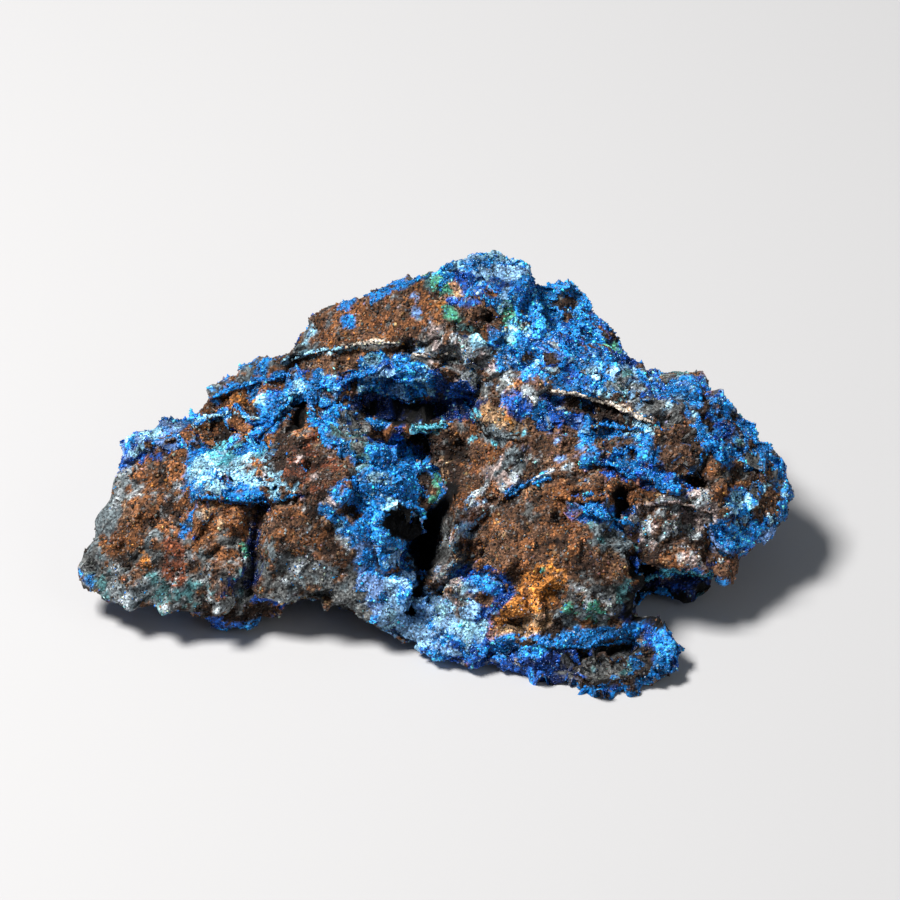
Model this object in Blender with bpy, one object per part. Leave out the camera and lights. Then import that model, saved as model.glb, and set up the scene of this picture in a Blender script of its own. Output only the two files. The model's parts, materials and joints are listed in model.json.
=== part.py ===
"""Azurite specimen: a hand-sized piece of brown limonite rock with crusts of blue azurite crystals.

The rock leans back, so most of what it shows lies near one tilted plane, its show face. Features of that
face are placed as a collector would sketch them, looking at it square on: across, up the face, and the
height above the table, in millimetres. Everything hidden is placed by plain x, y, z.
"""

import math
import random

import bmesh
import bpy
import numpy as np
from mathutils import Matrix, Vector, noise
from mathutils.bvhtree import BVHTree

MM = 0.001

# ---- driving dimensions, in millimetres ----
VIEW_ELEVATION = math.radians(40)  # the show face is seen square on from this far above the table
ROUGH_VOXEL = 0.48  # cell that melts the lumps of rock into one body
GAP = 0.3  # clearance between a crust and the rock under it
ROCK_MARGIN = 0.15  # thinning the cutter may eat this much of the gap beside the rock, a broad body,
CRUST_MARGIN = 0.4  # and this much beside a neighbouring crust, a slender one
ROCK_TRIANGLES = 4900
CUTTER_TRIANGLES = 5000

BEDDING = Vector((0.28, 0.35, 0.9)).normalized()  # across the rock's layers
BED_THICKNESS = 3.6

SIN = math.sin(VIEW_ELEVATION)
COS = math.cos(VIEW_ELEVATION)
TOWARDS_VIEWER = Vector((0, -COS, SIN))


def show(across, up, height):
    """A point of the show face, in millimetres, from where it is seen and how high it stands."""
    return Vector((across, (up - height * COS) / SIN, height))


def shown(*points):
    return [show(*p) for p in points]


def hidden(*points):
    return [Vector(p) for p in points]


# ---- the rock: overlapping broken blocks, each the convex hull of its corners ----
BLOCKS = {
    "core": hidden(
        (-24, -14, 2.2), (-21, 1, 1.5), (-9, 9, 1.0), (6, 12, 0.6), (18, 8, 1.0), (26, -3, 2.5),
        (19, -12, 0.8), (13, -24, 0.4), (-1, -21, 0.6), (-14, -17, 0.8), (-14, -5, 9), (0, 1, 12),
        (11, 1, 11), (19, -3, 8), (-8, -11, 7),
    ),
    "left_nose": shown(
        (-31.4, -8.0, 4), (-30.8, -10.0, 2.5), (-24.3, -12.4, 2.6), (-20.2, -12.6, 2.6), (-16.0, -10.8, 4.5),
        (-29.3, -4.4, 6.5), (-27.2, 0.0, 8.5), (-27.0, 2.3, 10), (-26.2, 3.6, 10.6), (-24.0, 4.4, 11.2),
        (-20.6, 4.2, 11.5), (-17.2, 0.4, 12), (-16.0, -5.4, 8.5), (-21.8, -5.4, 8.5),
    ) + hidden((-27, -12, 1.8), (-22, -5, 1.5), (-21, 0, 4), (-25.5, -4, 6.5)),
    "left_block": shown(
        (-18.9, 4.6, 11), (-15.0, 4.8, 12.5), (-11.8, 6.2, 14), (-9.3, 5.4, 14.5), (-6.8, 2.9, 14.5),
        (-8.1, -2.1, 12.5), (-15.6, -2.1, 11), (-16.4, -7.1, 7), (-16.0, -10.4, 4.5), (-11.8, -11.0, 3),
        (-8.5, -11.4, 3), (-5.8, -12.2, 3), (-4.8, -7.1, 8), (-3.5, -10.4, 4.5), (-11.8, -5.4, 9.5),
    ) + hidden((-18, -6, 1.5), (-6, -14, 1), (-14, 0, 4), (-6, -2, 5), (-14, -14, 1.2)),
    "left_under": shown(
        (-20.4, -12.2, 1), (-17.6, -13.8, -0.3), (-14.6, -13.2, 0), (-12.6, -11.6, 1), (-20.2, -10.4, 4),
        (-11.8, -10.4, 4),
    ) + hidden((-20, -12, -0.5), (-12, -12, -0.5)),
    "cascade_nose": shown(
        (-11.8, 5.0, 14), (-8.9, 4.6, 14.5), (-3.5, 2.9, 13.5), (-1.0, 1.2, 12), (0.4, -1.2, 10.5),
        (-1.0, -3.8, 9.5), (-3.9, -3.8, 10.5), (-7.7, -2.1, 12), (-8.5, 0.4, 13.5), (-6.0, -7.1, 7.5),
        (-3.5, -7.9, 6.5),
    ) + hidden((-4, -8, 5), (-9, -8, 4)),
    "lower_sheet": shown(
        (-6.0, -7.9, 7), (-2.2, -7.1, 6), (-0.2, -8.3, 5), (-1.0, -12.1, 3), (4.8, -9.6, 6),
        (5.7, -7.9, 7), (5.2, -12.1, 4), (4.8, -16.4, 0.8), (2.3, -16.6, 0.3), (-1.0, -15.6, 0.6),
        (-4.3, -14.3, 1.0), (-5.8, -12.2, 2.5),
    ) + hidden((0, -18, -0.5), (-4, -16, 0), (4, -20, -0.5)),
    "brown_face": shown(
        (0.7, -9.6, 6), (3.2, -5.8, 8.5), (4.8, -2.9, 10.5), (8.2, -0.8, 12), (9.4, 1.2, 12.7),
        (14.0, 0.9, 12.4), (15.7, -2.1, 11), (16.1, -7.1, 8), (15.7, -10.4, 5.5), (12.3, -12.1, 5), (8.2, -13.8, 3.5),
        (4.8, -12.1, 4.5), (9.8, -6.2, 9.8),
    ) + hidden((4, -14, 0), (15, -13, 1), (10, -8, 3), (16, -20, 0)),
    "foot": shown(
        (4.8, -13.8, 2.5), (8.2, -12.5, 4.5), (13.2, -10.4, 5.5), (16.5, -10.8, 4.5), (18.2, -11.7, 3.5),
        (21.0, -15.0, 1.8), (20.5, -16.6, 0.8), (16.9, -18.6, 0), (13.2, -18.6, -0.2), (9.0, -17.9, -0.2),
        (4.8, -16.7, 0.3), (2.3, -15.8, 0.8),
    ) + hidden((17, -22, -0.5), (6, -20, -0.5)),
    "gully_floor": shown(
        (-1.0, 3.8, 11), (4.8, 5.4, 13.5), (8.3, 5.8, 14.5), (8.3, 1.9, 12.8), (5.0, -1.6, 9.6),
        (0.9, -7.1, 5.5), (-1.0, -10.4, 3.5), (-1.4, -5.4, 5.5),
    ) + hidden((-2, -10, 1), (4, -10, 1), (8, -4, 1), (0, -4, 2)),
    "hollow_floor": shown(
        (-12.5, 6.9, 12.8), (-12.5, 3.6, 11.4), (-4.5, 2.4, 10.6), (4.0, 3.6, 11.6), (4.6, 8.4, 15.0),
        (-1.8, 8.6, 14.4), (-8.8, 8.2, 13.8),
    ) + hidden((-9, 2, 6), (2, 3, 8)),
    "gully_wall": shown(
        (2.9, 7.6, 15.5), (8.2, 7.9, 16), (10.2, 4.8, 14.8), (10.6, 0.8, 13), (6.6, 0.2, 12), (3.6, 3.2, 13),
        (1.8, 5.6, 14),
    ) + hidden((4, -3, 8), (10, -4, 8), (6, 2, 12)),
    "under_wing": shown(
        (15.5, -8.0, 4), (22.3, -7.6, 4), (22.8, -10.5, 1.2), (19.0, -11.2, 0.8), (15.5, -11.2, 0.8),
    ) + hidden((24, -9, 1.2), (14, -9, 1.0), (24, -6, 4.5)),
    "right_wing": shown(
        (8.2, 6.2, 14.5), (13.2, 6.7, 15), (17.3, 7.9, 15.5), (21.2, 8.0, 14.5), (25.2, 4.7, 11.8),
        (28.2, 1.9, 9.5), (29.9, -1.0, 7), (29.6, -2.7, 5.8), (26.4, -4.6, 5.5), (24.9, -6.4, 5),
        (24.4, -9.0, 4), (22.8, -8.6, 5), (19.6, -7.9, 6.6), (16.2, -8.3, 7), (15.7, -2.1, 11.5),
        (9.8, 0.4, 12.5), (20.7, -2.1, 10.5), (24.8, -0.4, 10.5),
    ) + hidden((27, -3, 4), (20, -8, 3.5), (24, 4, 6), (14, -8, 2), (18, 6, 8)),
    "upper_right": shown(
        (7.3, 7.9, 16), (8.2, 12.1, 18), (13.2, 12.1, 16.5), (16.5, 9.2, 15.5), (19.8, 8.3, 15),
        (14.8, 6.2, 15), (9.8, 7.1, 15.5),
    ) + hidden((14, 6, 8), (8, 8, 8)),
    "crown": shown(
        (-1.0, 16.2, 21.5), (0.0, 17.9, 22.3), (3.0, 19.3, 22.9), (6.9, 18.5, 22), (8.2, 16.6, 20),
        (8.2, 12.9, 18.5), (4.8, 10.8, 18.5), (1.1, 12.1, 19.5), (4.8, 14.6, 20.5), (6.5, 8.3, 16),
        (2.3, 7.9, 16), (-0.2, 10.4, 18),
    ) + hidden((0, 6, 14), (8, 7, 13), (3, 9, 10)),
    "back_knob": shown(
        (8.6, 16.3, 19), (10.4, 17.6, 19), (13.1, 16.3, 18), (14.6, 13.6, 16.8), (15.8, 11.2, 15.6),
        (10.7, 11.6, 16.5), (8.6, 12.6, 17.5),
    ) + hidden((12, 7, 12), (8.5, 6, 13)),
    "crown_slope": shown(
        (-13.9, 10.8, 14), (-12.0, 13.9, 16.6), (-8.9, 15.6, 18.6), (-3.8, 17.1, 21), (-0.4, 18.0, 22.3),
        (0.7, 12.1, 19), (-3.5, 10.8, 16.8), (-9.3, 10.2, 15), (2.3, 9.2, 16),
    ) + hidden((-10, 5, 8), (-2, 8, 10), (-12, 2, 6)),
    "lower_step": shown(
        (-20.6, 6.3, 10.8), (-18.2, 8.7, 12), (-15.4, 9.8, 13), (-12.7, 10.2, 13.8), (-12.7, 6.7, 12.8),
        (-15.0, 3.6, 12), (-21.6, 4.4, 10.6),
    ) + hidden((-20, 2, 3), (-12, 4, 5), (-20.5, -4, 7)),
    "upper_step": shown(
        (-12.7, 8.6, 13.5), (-8.1, 10.4, 15.2), (-3.5, 10.8, 16.5), (0.7, 10.2, 17), (-0.2, 7.9, 15.5),
        (-5.2, 8.1, 15), (-11.8, 6.7, 13.8),
    ) + hidden((-8, 4, 7), (0, 4, 8)),
    "back_shelf": hidden(
        (-15, 5, 9), (-5, 10, 8.5), (5, 12.5, 7), (15, 9.5, 7), (-17, 4, 2), (18, 8, 1), (4, 14, 2),
        (-6, 12.5, 2), (-2, 5, 13), (9, 6, 12),
    ),
    "rest_left": hidden(
        (-19, -13, -1.5), (-15, -16, -1.3), (-9, -13, -1.6), (-12, -8, -1.2), (-17, -8.5, 3), (-10, -10, 3),
    ),
    "rest_back": hidden(
        (-4, 4, -1.5), (3, -2, -1.3), (10, 1, -1.7), (9, 7, -1.4), (1, 8, -1.6), (-1, 3, 3), (8, 4, 3),
    ),
    "rest_right": hidden(
        (13, -8, -1.5), (18, -10.5, -1.2), (21, -6, -1.5), (18, -3, -1.3), (15, -7, 3), (19, -6, 3),
    ),
    "rest_foot": hidden(
        (4, -18, -1.5), (10, -24, -1.4), (16, -24.5, -1.3), (17, -20, -1.6), (9, -16, -1.2), (8, -20, 2),
        (15, -21, 1),
    ),
    "back_tooth": hidden((8, 11, 10), (13, 9, 11), (16, 4, 12), (7, 5, 14), (12, 13, 3), (5, 12, 3)),
}

# ---- carving of the show face: paths and centres as (across, up), sizes in millimetres ----
GROOVES = (  # path, half width, depth
    (((-15.0, -2.1), (-15.6, -4.6), (-16.3, -7.1), (-16.6, -10.8)), 1.0, 1.6),
    (((-1.6, 2.0), (-0.6, -1.4), (-1.0, -5.4), (-1.4, -10.0), (-2.2, -12.1)), 1.3, 3.4),
    (((16.1, -2.5), (16.6, -7.1), (15.9, -10.2)), 1.0, 2.2),
    (((6.2, -16.0), (11.5, -14.4), (16.3, -13.9)), 0.8, 1.3),
    (((4.8, -14.4), (9.8, -12.9), (16.2, -11.6)), 0.7, 0.9),
    (((14.0, 2.6), (17.0, 1.4), (21.0, -0.4)), 0.9, 1.0),
    (((-9.5, 2.2), (-6.2, 0.2), (-6.2, -3.2)), 0.8, 0.9),
    (((5.2, -8.2), (8.6, -9.8), (7.6, -12.6)), 0.7, 0.8),
)
PITS = (  # centre, half sizes across and up, turn in degrees, depth
    ((-3.6, 6.3), (3.6, 1.1), -3, 2.2),
    ((1.2, 6.0), (2.0, 0.9), 10, 1.6),
    ((-12.2, 4.3), (0.8, 1.3), 12, 2.6),
    ((-2.2, -5.2), (1.6, 1.3), 0, 4.2),
    ((14.8, -2.2), (0.8, 1.2), -20, 2.4),
    ((3.8, 13.1), (1.5, 1.2), 0, 1.7),
    ((20.7, -0.5), (1.5, 0.9), -25, 1.7),
    ((2.4, 2.0), (2.6, 3.6), -35, 1.2),
    ((8.6, 15.1), (0.9, 2.0), 20, 1.6),
    ((-24.6, 0.4), (1.8, 2.2), 0, 0.7),
)
LEDGES = (  # edge path, height of the step, how far behind its edge the step fades out
    (((-20.6, 4.9), (-15.0, 4.6), (-13.2, 6.6)), 0.9, 2.4),
    (((-19.8, 6.3), (-17.2, 7.5), (-12.7, 8.4)), 0.9, 2.0),
    (((-12.7, 8.8), (-8.1, 10.2), (-3.5, 10.8), (0.9, 10.0)), 1.0, 2.4),
    (((7.0, 7.4), (9.8, 7.8), (13.2, 6.6), (17.6, 4.8)), 1.2, 2.8),
    (((1.9, -5.0), (6.3, -1.4), (9.8, -0.1), (14.0, -0.4)), -0.9, 2.5),
    (((-19.0, -2.2), (-15.6, -2.3), (-11.4, -1.4)), 0.8, 3.0),
)

# ---- the azurite crusts: (across, up, half width) along the middle of each, in millimetres ----
CRUSTS = {
    "azurite_crown": ((0.4, 16.2, 1.4), (2.4, 16.9, 2.0), (5.0, 16.2, 2.2), (6.6, 14.6, 1.6), (7.4, 12.6, 1.2)),
    "azurite_slope": (
        (2.6, 10.6, 1.1), (5.2, 10.6, 1.7), (8.4, 10.6, 2.2), (11.6, 9.9, 2.0), (14.6, 8.6, 1.8), (18.2, 7.4, 1.4),
    ),
    "azurite_back_knob": ((9.0, 14.8, 1.2), (10.8, 15.2, 1.5), (12.4, 13.6, 1.4), (14.4, 11.8, 1.0)),
    "azurite_left_knob": ((-26.0, 2.0, 1.0), (-24.6, 3.2, 1.3), (-22.3, 3.2, 1.2), (-20.0, 3.2, 0.9)),
    "azurite_pale_patch": (
        (-20.4, -4.0, 0.7), (-20.0, -1.6, 0.9), (-18.6, 0.6, 1.5), (-16.4, 1.4, 1.9), (-13.4, 0.4, 1.5),
        (-12.0, -0.8, 1.0),
    ),
    "azurite_upper_band": (
        (-16.8, 3.6, 1.0), (-14.9, 5.6, 1.2), (-12.2, 7.0, 1.4), (-9.4, 7.2, 1.3), (-6.6, 7.9, 1.3),
        (-3.4, 8.8, 1.3), (-0.4, 8.2, 1.3), (2.2, 7.4, 1.2),
    ),
    "azurite_cascade": (
        (-9.6, 4.6, 1.0), (-7.6, 3.2, 1.3), (-5.6, 1.6, 1.8), (-4.2, -0.4, 2.2), (-3.4, -2.4, 1.9),
        (-4.4, -4.6, 1.2), (-4.2, -6.6, 1.1),
    ),
    "azurite_lower_sheet": (
        (-5.4, -8.8, 1.2), (-4.4, -11.0, 1.7), (-2.4, -12.6, 1.9), (0.8, -13.2, 2.2), (3.4, -11.4, 2.0),
        (4.4, -13.8, 1.5),
    ),
    "azurite_wing_chain": (
        (8.0, 5.4, 1.1), (10.6, 4.2, 1.2), (13.4, 4.4, 1.3), (15.6, 3.2, 1.5), (17.8, 1.8, 1.7),
        (20.4, 1.4, 1.5), (22.4, 2.8, 1.3),
    ),
    "azurite_wing_rim": (
        (25.2, 3.6, 1.2), (26.6, 1.6, 1.4), (28.1, -0.9, 1.6), (26.4, -2.8, 1.7), (24.0, -4.6, 1.4),
        (23.4, -6.8, 1.1),
    ),
    "azurite_foot": (
        (5.4, -15.0, 1.2), (8.4, -15.6, 1.4), (11.6, -16.4, 1.3), (14.6, -16.4, 1.3), (17.0, -15.4, 1.7),
        (18.2, -13.6, 1.3),
    ),
    "azurite_plate": ((11.8, -2.6, 0.9), (13.8, -3.4, 1.2), (15.6, -4.6, 1.0)),
    "azurite_hollow_lining": ((-6.4, 5.3, 0.9), (-4.2, 5.0, 1.1), (-1.8, 5.0, 1.1), (0.9, 5.2, 1.0)),
}
CRUST_BED = 0.5  # how far the rock is sunk under a crust
CRUST_CLEAR_OF_TABLE = 0.8
CRYSTAL_SPACING = 0.6  # along a crust's middle line
CRUST_VOXEL = 0.32
CRUST_TRIANGLES_PER_MM2 = 4.4  # of the crust's own outline, length times width


def clear_scene():
    for old in list(bpy.data.objects):
        bpy.data.objects.remove(old, do_unlink=True)


def principled(name, colour, roughness, metallic=0.0):
    material = bpy.data.materials.new(name)
    material.use_nodes = True
    shader = material.node_tree.nodes["Principled BSDF"]
    shader.inputs["Base Color"].default_value = (*colour, 1.0)
    shader.inputs["Roughness"].default_value = roughness
    shader.inputs["Metallic"].default_value = metallic
    return material


def add_object(name, mesh, material):
    obj = bpy.data.objects.new(name, mesh)
    bpy.context.scene.collection.objects.link(obj)
    mesh.materials.clear()
    mesh.materials.append(material)
    return obj


def apply_modifiers(obj):
    """Replaces the object's mesh with what its modifiers make of it."""
    bpy.context.view_layer.update()
    graph = bpy.context.evaluated_depsgraph_get()
    mesh = bpy.data.meshes.new_from_object(obj.evaluated_get(graph))
    obj.modifiers.clear()
    obj.data = mesh


def melt(obj, voxel):
    """Joins overlapping closed shells into one body of even faces."""
    remesh = obj.modifiers.new("melt", "REMESH")
    remesh.mode = "VOXEL"
    remesh.voxel_size = voxel * MM
    apply_modifiers(obj)


def thin_to(obj, triangles):
    """Collapses the faces that say least about the shape, down to a number of triangles."""
    obj.data.calc_loop_triangles()
    decimate = obj.modifiers.new("thin", "DECIMATE")
    decimate.ratio = min(1.0, triangles / len(obj.data.loop_triangles))
    decimate.use_collapse_triangulate = True
    apply_modifiers(obj)


def points_of(mesh):
    """Vertex places in millimetres, one row each."""
    flat = np.empty(len(mesh.vertices) * 3, np.float32)
    mesh.vertices.foreach_get("co", flat)
    return flat.reshape(-1, 3).astype(float) / MM


def normals_of(mesh):
    flat = np.empty(len(mesh.vertices) * 3, np.float32)
    mesh.vertex_normals.foreach_get("vector", flat)
    return flat.reshape(-1, 3).astype(float)


def set_points(mesh, points):
    mesh.vertices.foreach_set("co", (points * MM).astype(np.float32).ravel())
    mesh.update()


def add_hull(bm, corners):
    """Adds the convex hull of the corners to bm."""
    verts = [bm.verts.new(corner * MM) for corner in corners]
    made = bmesh.ops.convex_hull(bm, input=verts)
    inside = {e for e in made["geom_interior"] + made["geom_unused"] if isinstance(e, bmesh.types.BMVert)}
    bmesh.ops.delete(bm, geom=list(inside), context="VERTS")


def blocks_mesh():
    """All blocks of the rock, each a closed shell of its own."""
    joined = bpy.data.meshes.new("blocks")
    everything = bmesh.new()
    for corners in BLOCKS.values():
        block = bmesh.new()
        add_hull(block, corners)
        bmesh.ops.recalc_face_normals(block, faces=block.faces)
        piece = bpy.data.meshes.new("block")
        block.to_mesh(piece)
        block.free()
        everything.from_mesh(piece)
        bpy.data.meshes.remove(piece)
    everything.to_mesh(joined)
    everything.free()
    return joined


def distance_to_path(spots, path):
    """Distance from each (across, up) spot to a path of straight stretches, and which side it is on."""
    best = np.full(len(spots), 1e9)
    side = np.zeros(len(spots))
    for start, end in zip(path[:-1], path[1:]):
        start, end = np.array(start), np.array(end)
        run = end - start
        along = np.clip(((spots - start) @ run) / (run @ run), 0, 1)
        away = spots - (start + along[:, None] * run)
        distance = np.hypot(away[:, 0], away[:, 1])
        nearer = distance < best
        best[nearer] = distance[nearer]
        side[nearer] = (run[0] * away[:, 1] - run[1] * away[:, 0])[nearer]
    return best, np.sign(side)


def carve(mesh):
    """Cuts the grooves and pits and lifts the ledges, along the line of sight to the show face."""
    points, normals = points_of(mesh), normals_of(mesh)
    sight = np.array(TOWARDS_VIEWER)
    facing = np.clip(normals @ sight * 2.5, 0, 1)
    spots = np.stack([points[:, 0], points[:, 1] * SIN + points[:, 2] * COS], 1)
    lift = np.zeros(len(points))
    for path, height, fade in LEDGES:
        distance, side = distance_to_path(spots, path)
        lift += height * np.clip(1 - distance / fade, 0, 1) * (side > 0)
    for path, half_width, depth in GROOVES:
        distance, _ = distance_to_path(spots, path)
        lift -= depth * np.clip(1 - (distance / half_width) ** 2, 0, 1) ** 0.8
    for centre, (half_across, half_up), turn, depth in PITS:
        angle = math.radians(turn)
        offset = spots - np.array(centre)
        along = offset[:, 0] * math.cos(angle) + offset[:, 1] * math.sin(angle)
        over = offset[:, 1] * math.cos(angle) - offset[:, 0] * math.sin(angle)
        radius = (along / half_across) ** 2 + (over / half_up) ** 2
        lift -= depth * np.clip(1 - radius, 0, 1) ** 0.6
    for path in CRUSTS.values():
        distance, _ = distance_to_path(spots, [stop[:2] for stop in path])
        lift -= CRUST_BED * np.clip(1.5 - distance / max(stop[2] for stop in path), 0, 1)
    set_points(mesh, points + sight * (lift * facing)[:, None])


def roughen(mesh, seed):
    """Breaks the faces up: bedding ledges, chunky cells some millimetres across, and finer crumbs."""
    points, normals = points_of(mesh), normals_of(mesh)
    offset = Vector((seed, seed * 0.7, -seed))
    push = []
    for point in points:
        spot = Vector(point)
        broad = noise.fractal(spot / 9 + offset, 0.8, 2.1, 4)
        chunk = noise.voronoi(spot / 5.5 + offset)[0]
        crumb = noise.turbulence(spot / 2.2 - offset, 3, False)
        layer = spot.dot(BEDDING) / BED_THICKNESS + 0.7 * broad
        ledge = (layer - math.floor(layer)) ** 2
        push.append(0.5 * broad + 1.1 * (chunk[1] - chunk[0] - 0.35) + 0.6 * (crumb - 0.5) - 0.45 * ledge)
    set_points(mesh, points + normals * np.array(push)[:, None])


def cut_flat(mesh, height=0.0):
    """Slices the mesh off level, at a height in millimetres above the table, and closes it."""
    bm = bmesh.new()
    bm.from_mesh(mesh)
    bmesh.ops.bisect_plane(
        bm, geom=bm.verts[:] + bm.edges[:] + bm.faces[:], dist=1e-7, plane_co=(0, 0, height * MM),
        plane_no=(0, 0, 1), clear_inner=True,
    )
    rim = [edge for edge in bm.edges if edge.is_boundary]
    bmesh.ops.holes_fill(bm, edges=rim)
    bmesh.ops.triangulate(bm, faces=bm.faces)
    bmesh.ops.recalc_face_normals(bm, faces=bm.faces)
    bm.to_mesh(mesh)
    bm.free()


def keep_largest(mesh):
    """Drops every loose body but the largest."""
    bm = bmesh.new()
    bm.from_mesh(mesh)
    bmesh.ops.remove_doubles(bm, verts=bm.verts, dist=1e-7)
    unseen, bodies = set(bm.verts), []
    while unseen:
        body, edge_of_body = set(), [next(iter(unseen))]
        while edge_of_body:
            vert = edge_of_body.pop()
            if vert in body:
                continue
            body.add(vert)
            edge_of_body.extend(edge.other_vert(vert) for edge in vert.link_edges)
        unseen -= body
        bodies.append(body)
    bodies.sort(key=len)
    loose = [vert for body in bodies[:-1] for vert in body]
    bmesh.ops.delete(bm, geom=loose, context="VERTS")
    bm.to_mesh(mesh)
    bm.free()


def make_rock(material):
    rock = add_object("limonite_matrix", blocks_mesh(), material)
    melt(rock, ROUGH_VOXEL)
    carve(rock.data)
    melt(rock, ROUGH_VOXEL)
    roughen(rock.data, 3.7)
    melt(rock, ROUGH_VOXEL)
    keep_largest(rock.data)
    thin_to(rock, ROCK_TRIANGLES)
    cut_flat(rock.data)
    rock.data.materials.clear()
    rock.data.materials.append(material)
    return rock


def crystal(bm, place, outwards, size, chance):
    """Adds one blocky crystal with flat faces, leaning a little off the surface's outward direction."""
    made = bmesh.ops.create_icosphere(bm, subdivisions=1, radius=size * MM)
    lean = Vector([chance.uniform(-0.5, 0.5) for _ in range(3)])
    turn = (outwards + lean).to_track_quat("Z", "Y").to_matrix().to_4x4()
    spin = Matrix.Rotation(chance.uniform(0, math.tau), 4, "Z")
    stretch = Matrix.Diagonal((chance.uniform(0.75, 1.1), chance.uniform(0.9, 1.3), chance.uniform(0.7, 1.1), 1))
    bmesh.ops.transform(bm, matrix=Matrix.Translation(place * MM) @ turn @ spin @ stretch, verts=made["verts"])


def surface_spot(tree, across, up):
    """Where the line of sight through (across, up) meets the rock, in millimetres, and the normal there."""
    start = (show(across, up, 0) + TOWARDS_VIEWER * 80) * MM
    place, normal, _, _ = tree.ray_cast(start, -TOWARDS_VIEWER)
    return (place / MM, normal) if place else (None, None)


def swollen(parts):
    """One closed body of all the parts, each grown by the gap, to cut a crust's underside with."""
    bm = bmesh.new()
    for part in parts:
        mesh = part.data.copy()
        growth = GAP + (ROCK_MARGIN if part is parts[0] else CRUST_MARGIN)
        set_points(mesh, points_of(mesh) + normals_of(mesh) * growth)
        bm.from_mesh(mesh)
        bpy.data.meshes.remove(mesh)
    joined = bpy.data.meshes.new("swollen_parts")
    bm.to_mesh(joined)
    bm.free()
    cutter = bpy.data.objects.new("swollen_parts", joined)
    bpy.context.scene.collection.objects.link(cutter)
    melt(cutter, ROUGH_VOXEL)
    thin_to(cutter, CUTTER_TRIANGLES)
    cutter.hide_render = True
    cutter.display_type = "WIRE"
    return cutter


def stations(path):
    """(across, up, half width) at even spacing along a crust's middle line."""
    for start, end in zip(path[:-1], path[1:]):
        steps = max(1, round(math.dist(start[:2], end[:2]) / CRYSTAL_SPACING))
        for step in range(steps):
            share = step / steps
            yield tuple(a + (b - a) * share for a, b in zip(start, end))
    yield path[-1]


def make_crust(name, path, parts, tree, material, seed):
    """Scatters blocky crystals along the path, joins them, and cuts away what the other parts fill."""
    chance = random.Random(seed)
    bm = bmesh.new()
    outline_area = 0.0
    for across, up, half_width in stations(path):
        outline_area += 2 * half_width * CRYSTAL_SPACING
        for row in (-0.75, -0.25, 0.25, 0.75):
            shift_across = row * half_width + chance.uniform(-0.3, 0.3)
            shift_up = row * half_width * chance.choice((-1, 1)) + chance.uniform(-0.3, 0.3)
            place, normal = surface_spot(tree, across + shift_across, up + shift_up)
            if place is not None:
                size = chance.uniform(0.65, 1.1) * (1.15 - 0.35 * abs(row))
                crystal(bm, place + normal * 0.4, normal, size, chance)
    mesh = bpy.data.meshes.new(name)
    bm.to_mesh(mesh)
    bm.free()
    crust = add_object(name, mesh, material)
    melt(crust, CRUST_VOXEL)
    thin_to(crust, outline_area * CRUST_TRIANGLES_PER_MM2)
    cut = crust.modifiers.new("sit_on_rock", "BOOLEAN")
    cut.operation = "DIFFERENCE"
    cut.solver = "EXACT"
    cut.object = swollen(parts)
    apply_modifiers(crust)
    cut_flat(crust.data, CRUST_CLEAR_OF_TABLE)
    keep_largest(crust.data)
    crust.data.materials.clear()
    crust.data.materials.append(material)
    return crust


def stand_on_origin(parts):
    """Moves the whole specimen so that the middle of its box's underside is the origin."""
    points = np.concatenate([points_of(part.data) for part in parts])
    low, high = points.min(0), points.max(0)
    shift = -np.array([(low[0] + high[0]) / 2, (low[1] + high[1]) / 2, low[2]])
    for part in parts:
        set_points(part.data, points_of(part.data) + shift)


def main():
    clear_scene()
    limonite = principled("limonite", (0.19, 0.085, 0.035), 0.85)
    azurite = principled("azurite", (0.015, 0.12, 0.55), 0.4)
    rock = make_rock(limonite)
    tree = BVHTree.FromObject(rock, bpy.context.evaluated_depsgraph_get())
    parts = [rock]
    for seed, (name, path) in enumerate(CRUSTS.items()):
        parts.append(make_crust(name, path, parts, tree, azurite, seed))
    stand_on_origin(parts)


main()
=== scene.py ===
"""Azurite specimen: the detailed look of a brown limonite rock with crusts of blue azurite crystals.

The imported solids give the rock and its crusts. Each is taken as a fine mesh, broken up into facets, crumbs
and lumps, and sown with flat-faced crystals. What grows where is written down for the show face, the tilted
plane that most of the rock's front lies near: across and up, in millimetres, looking at it square on.
"""

import itertools
import json
import math

import bpy
import numpy as np
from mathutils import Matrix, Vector
from mathutils.bvhtree import BVHTree

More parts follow.
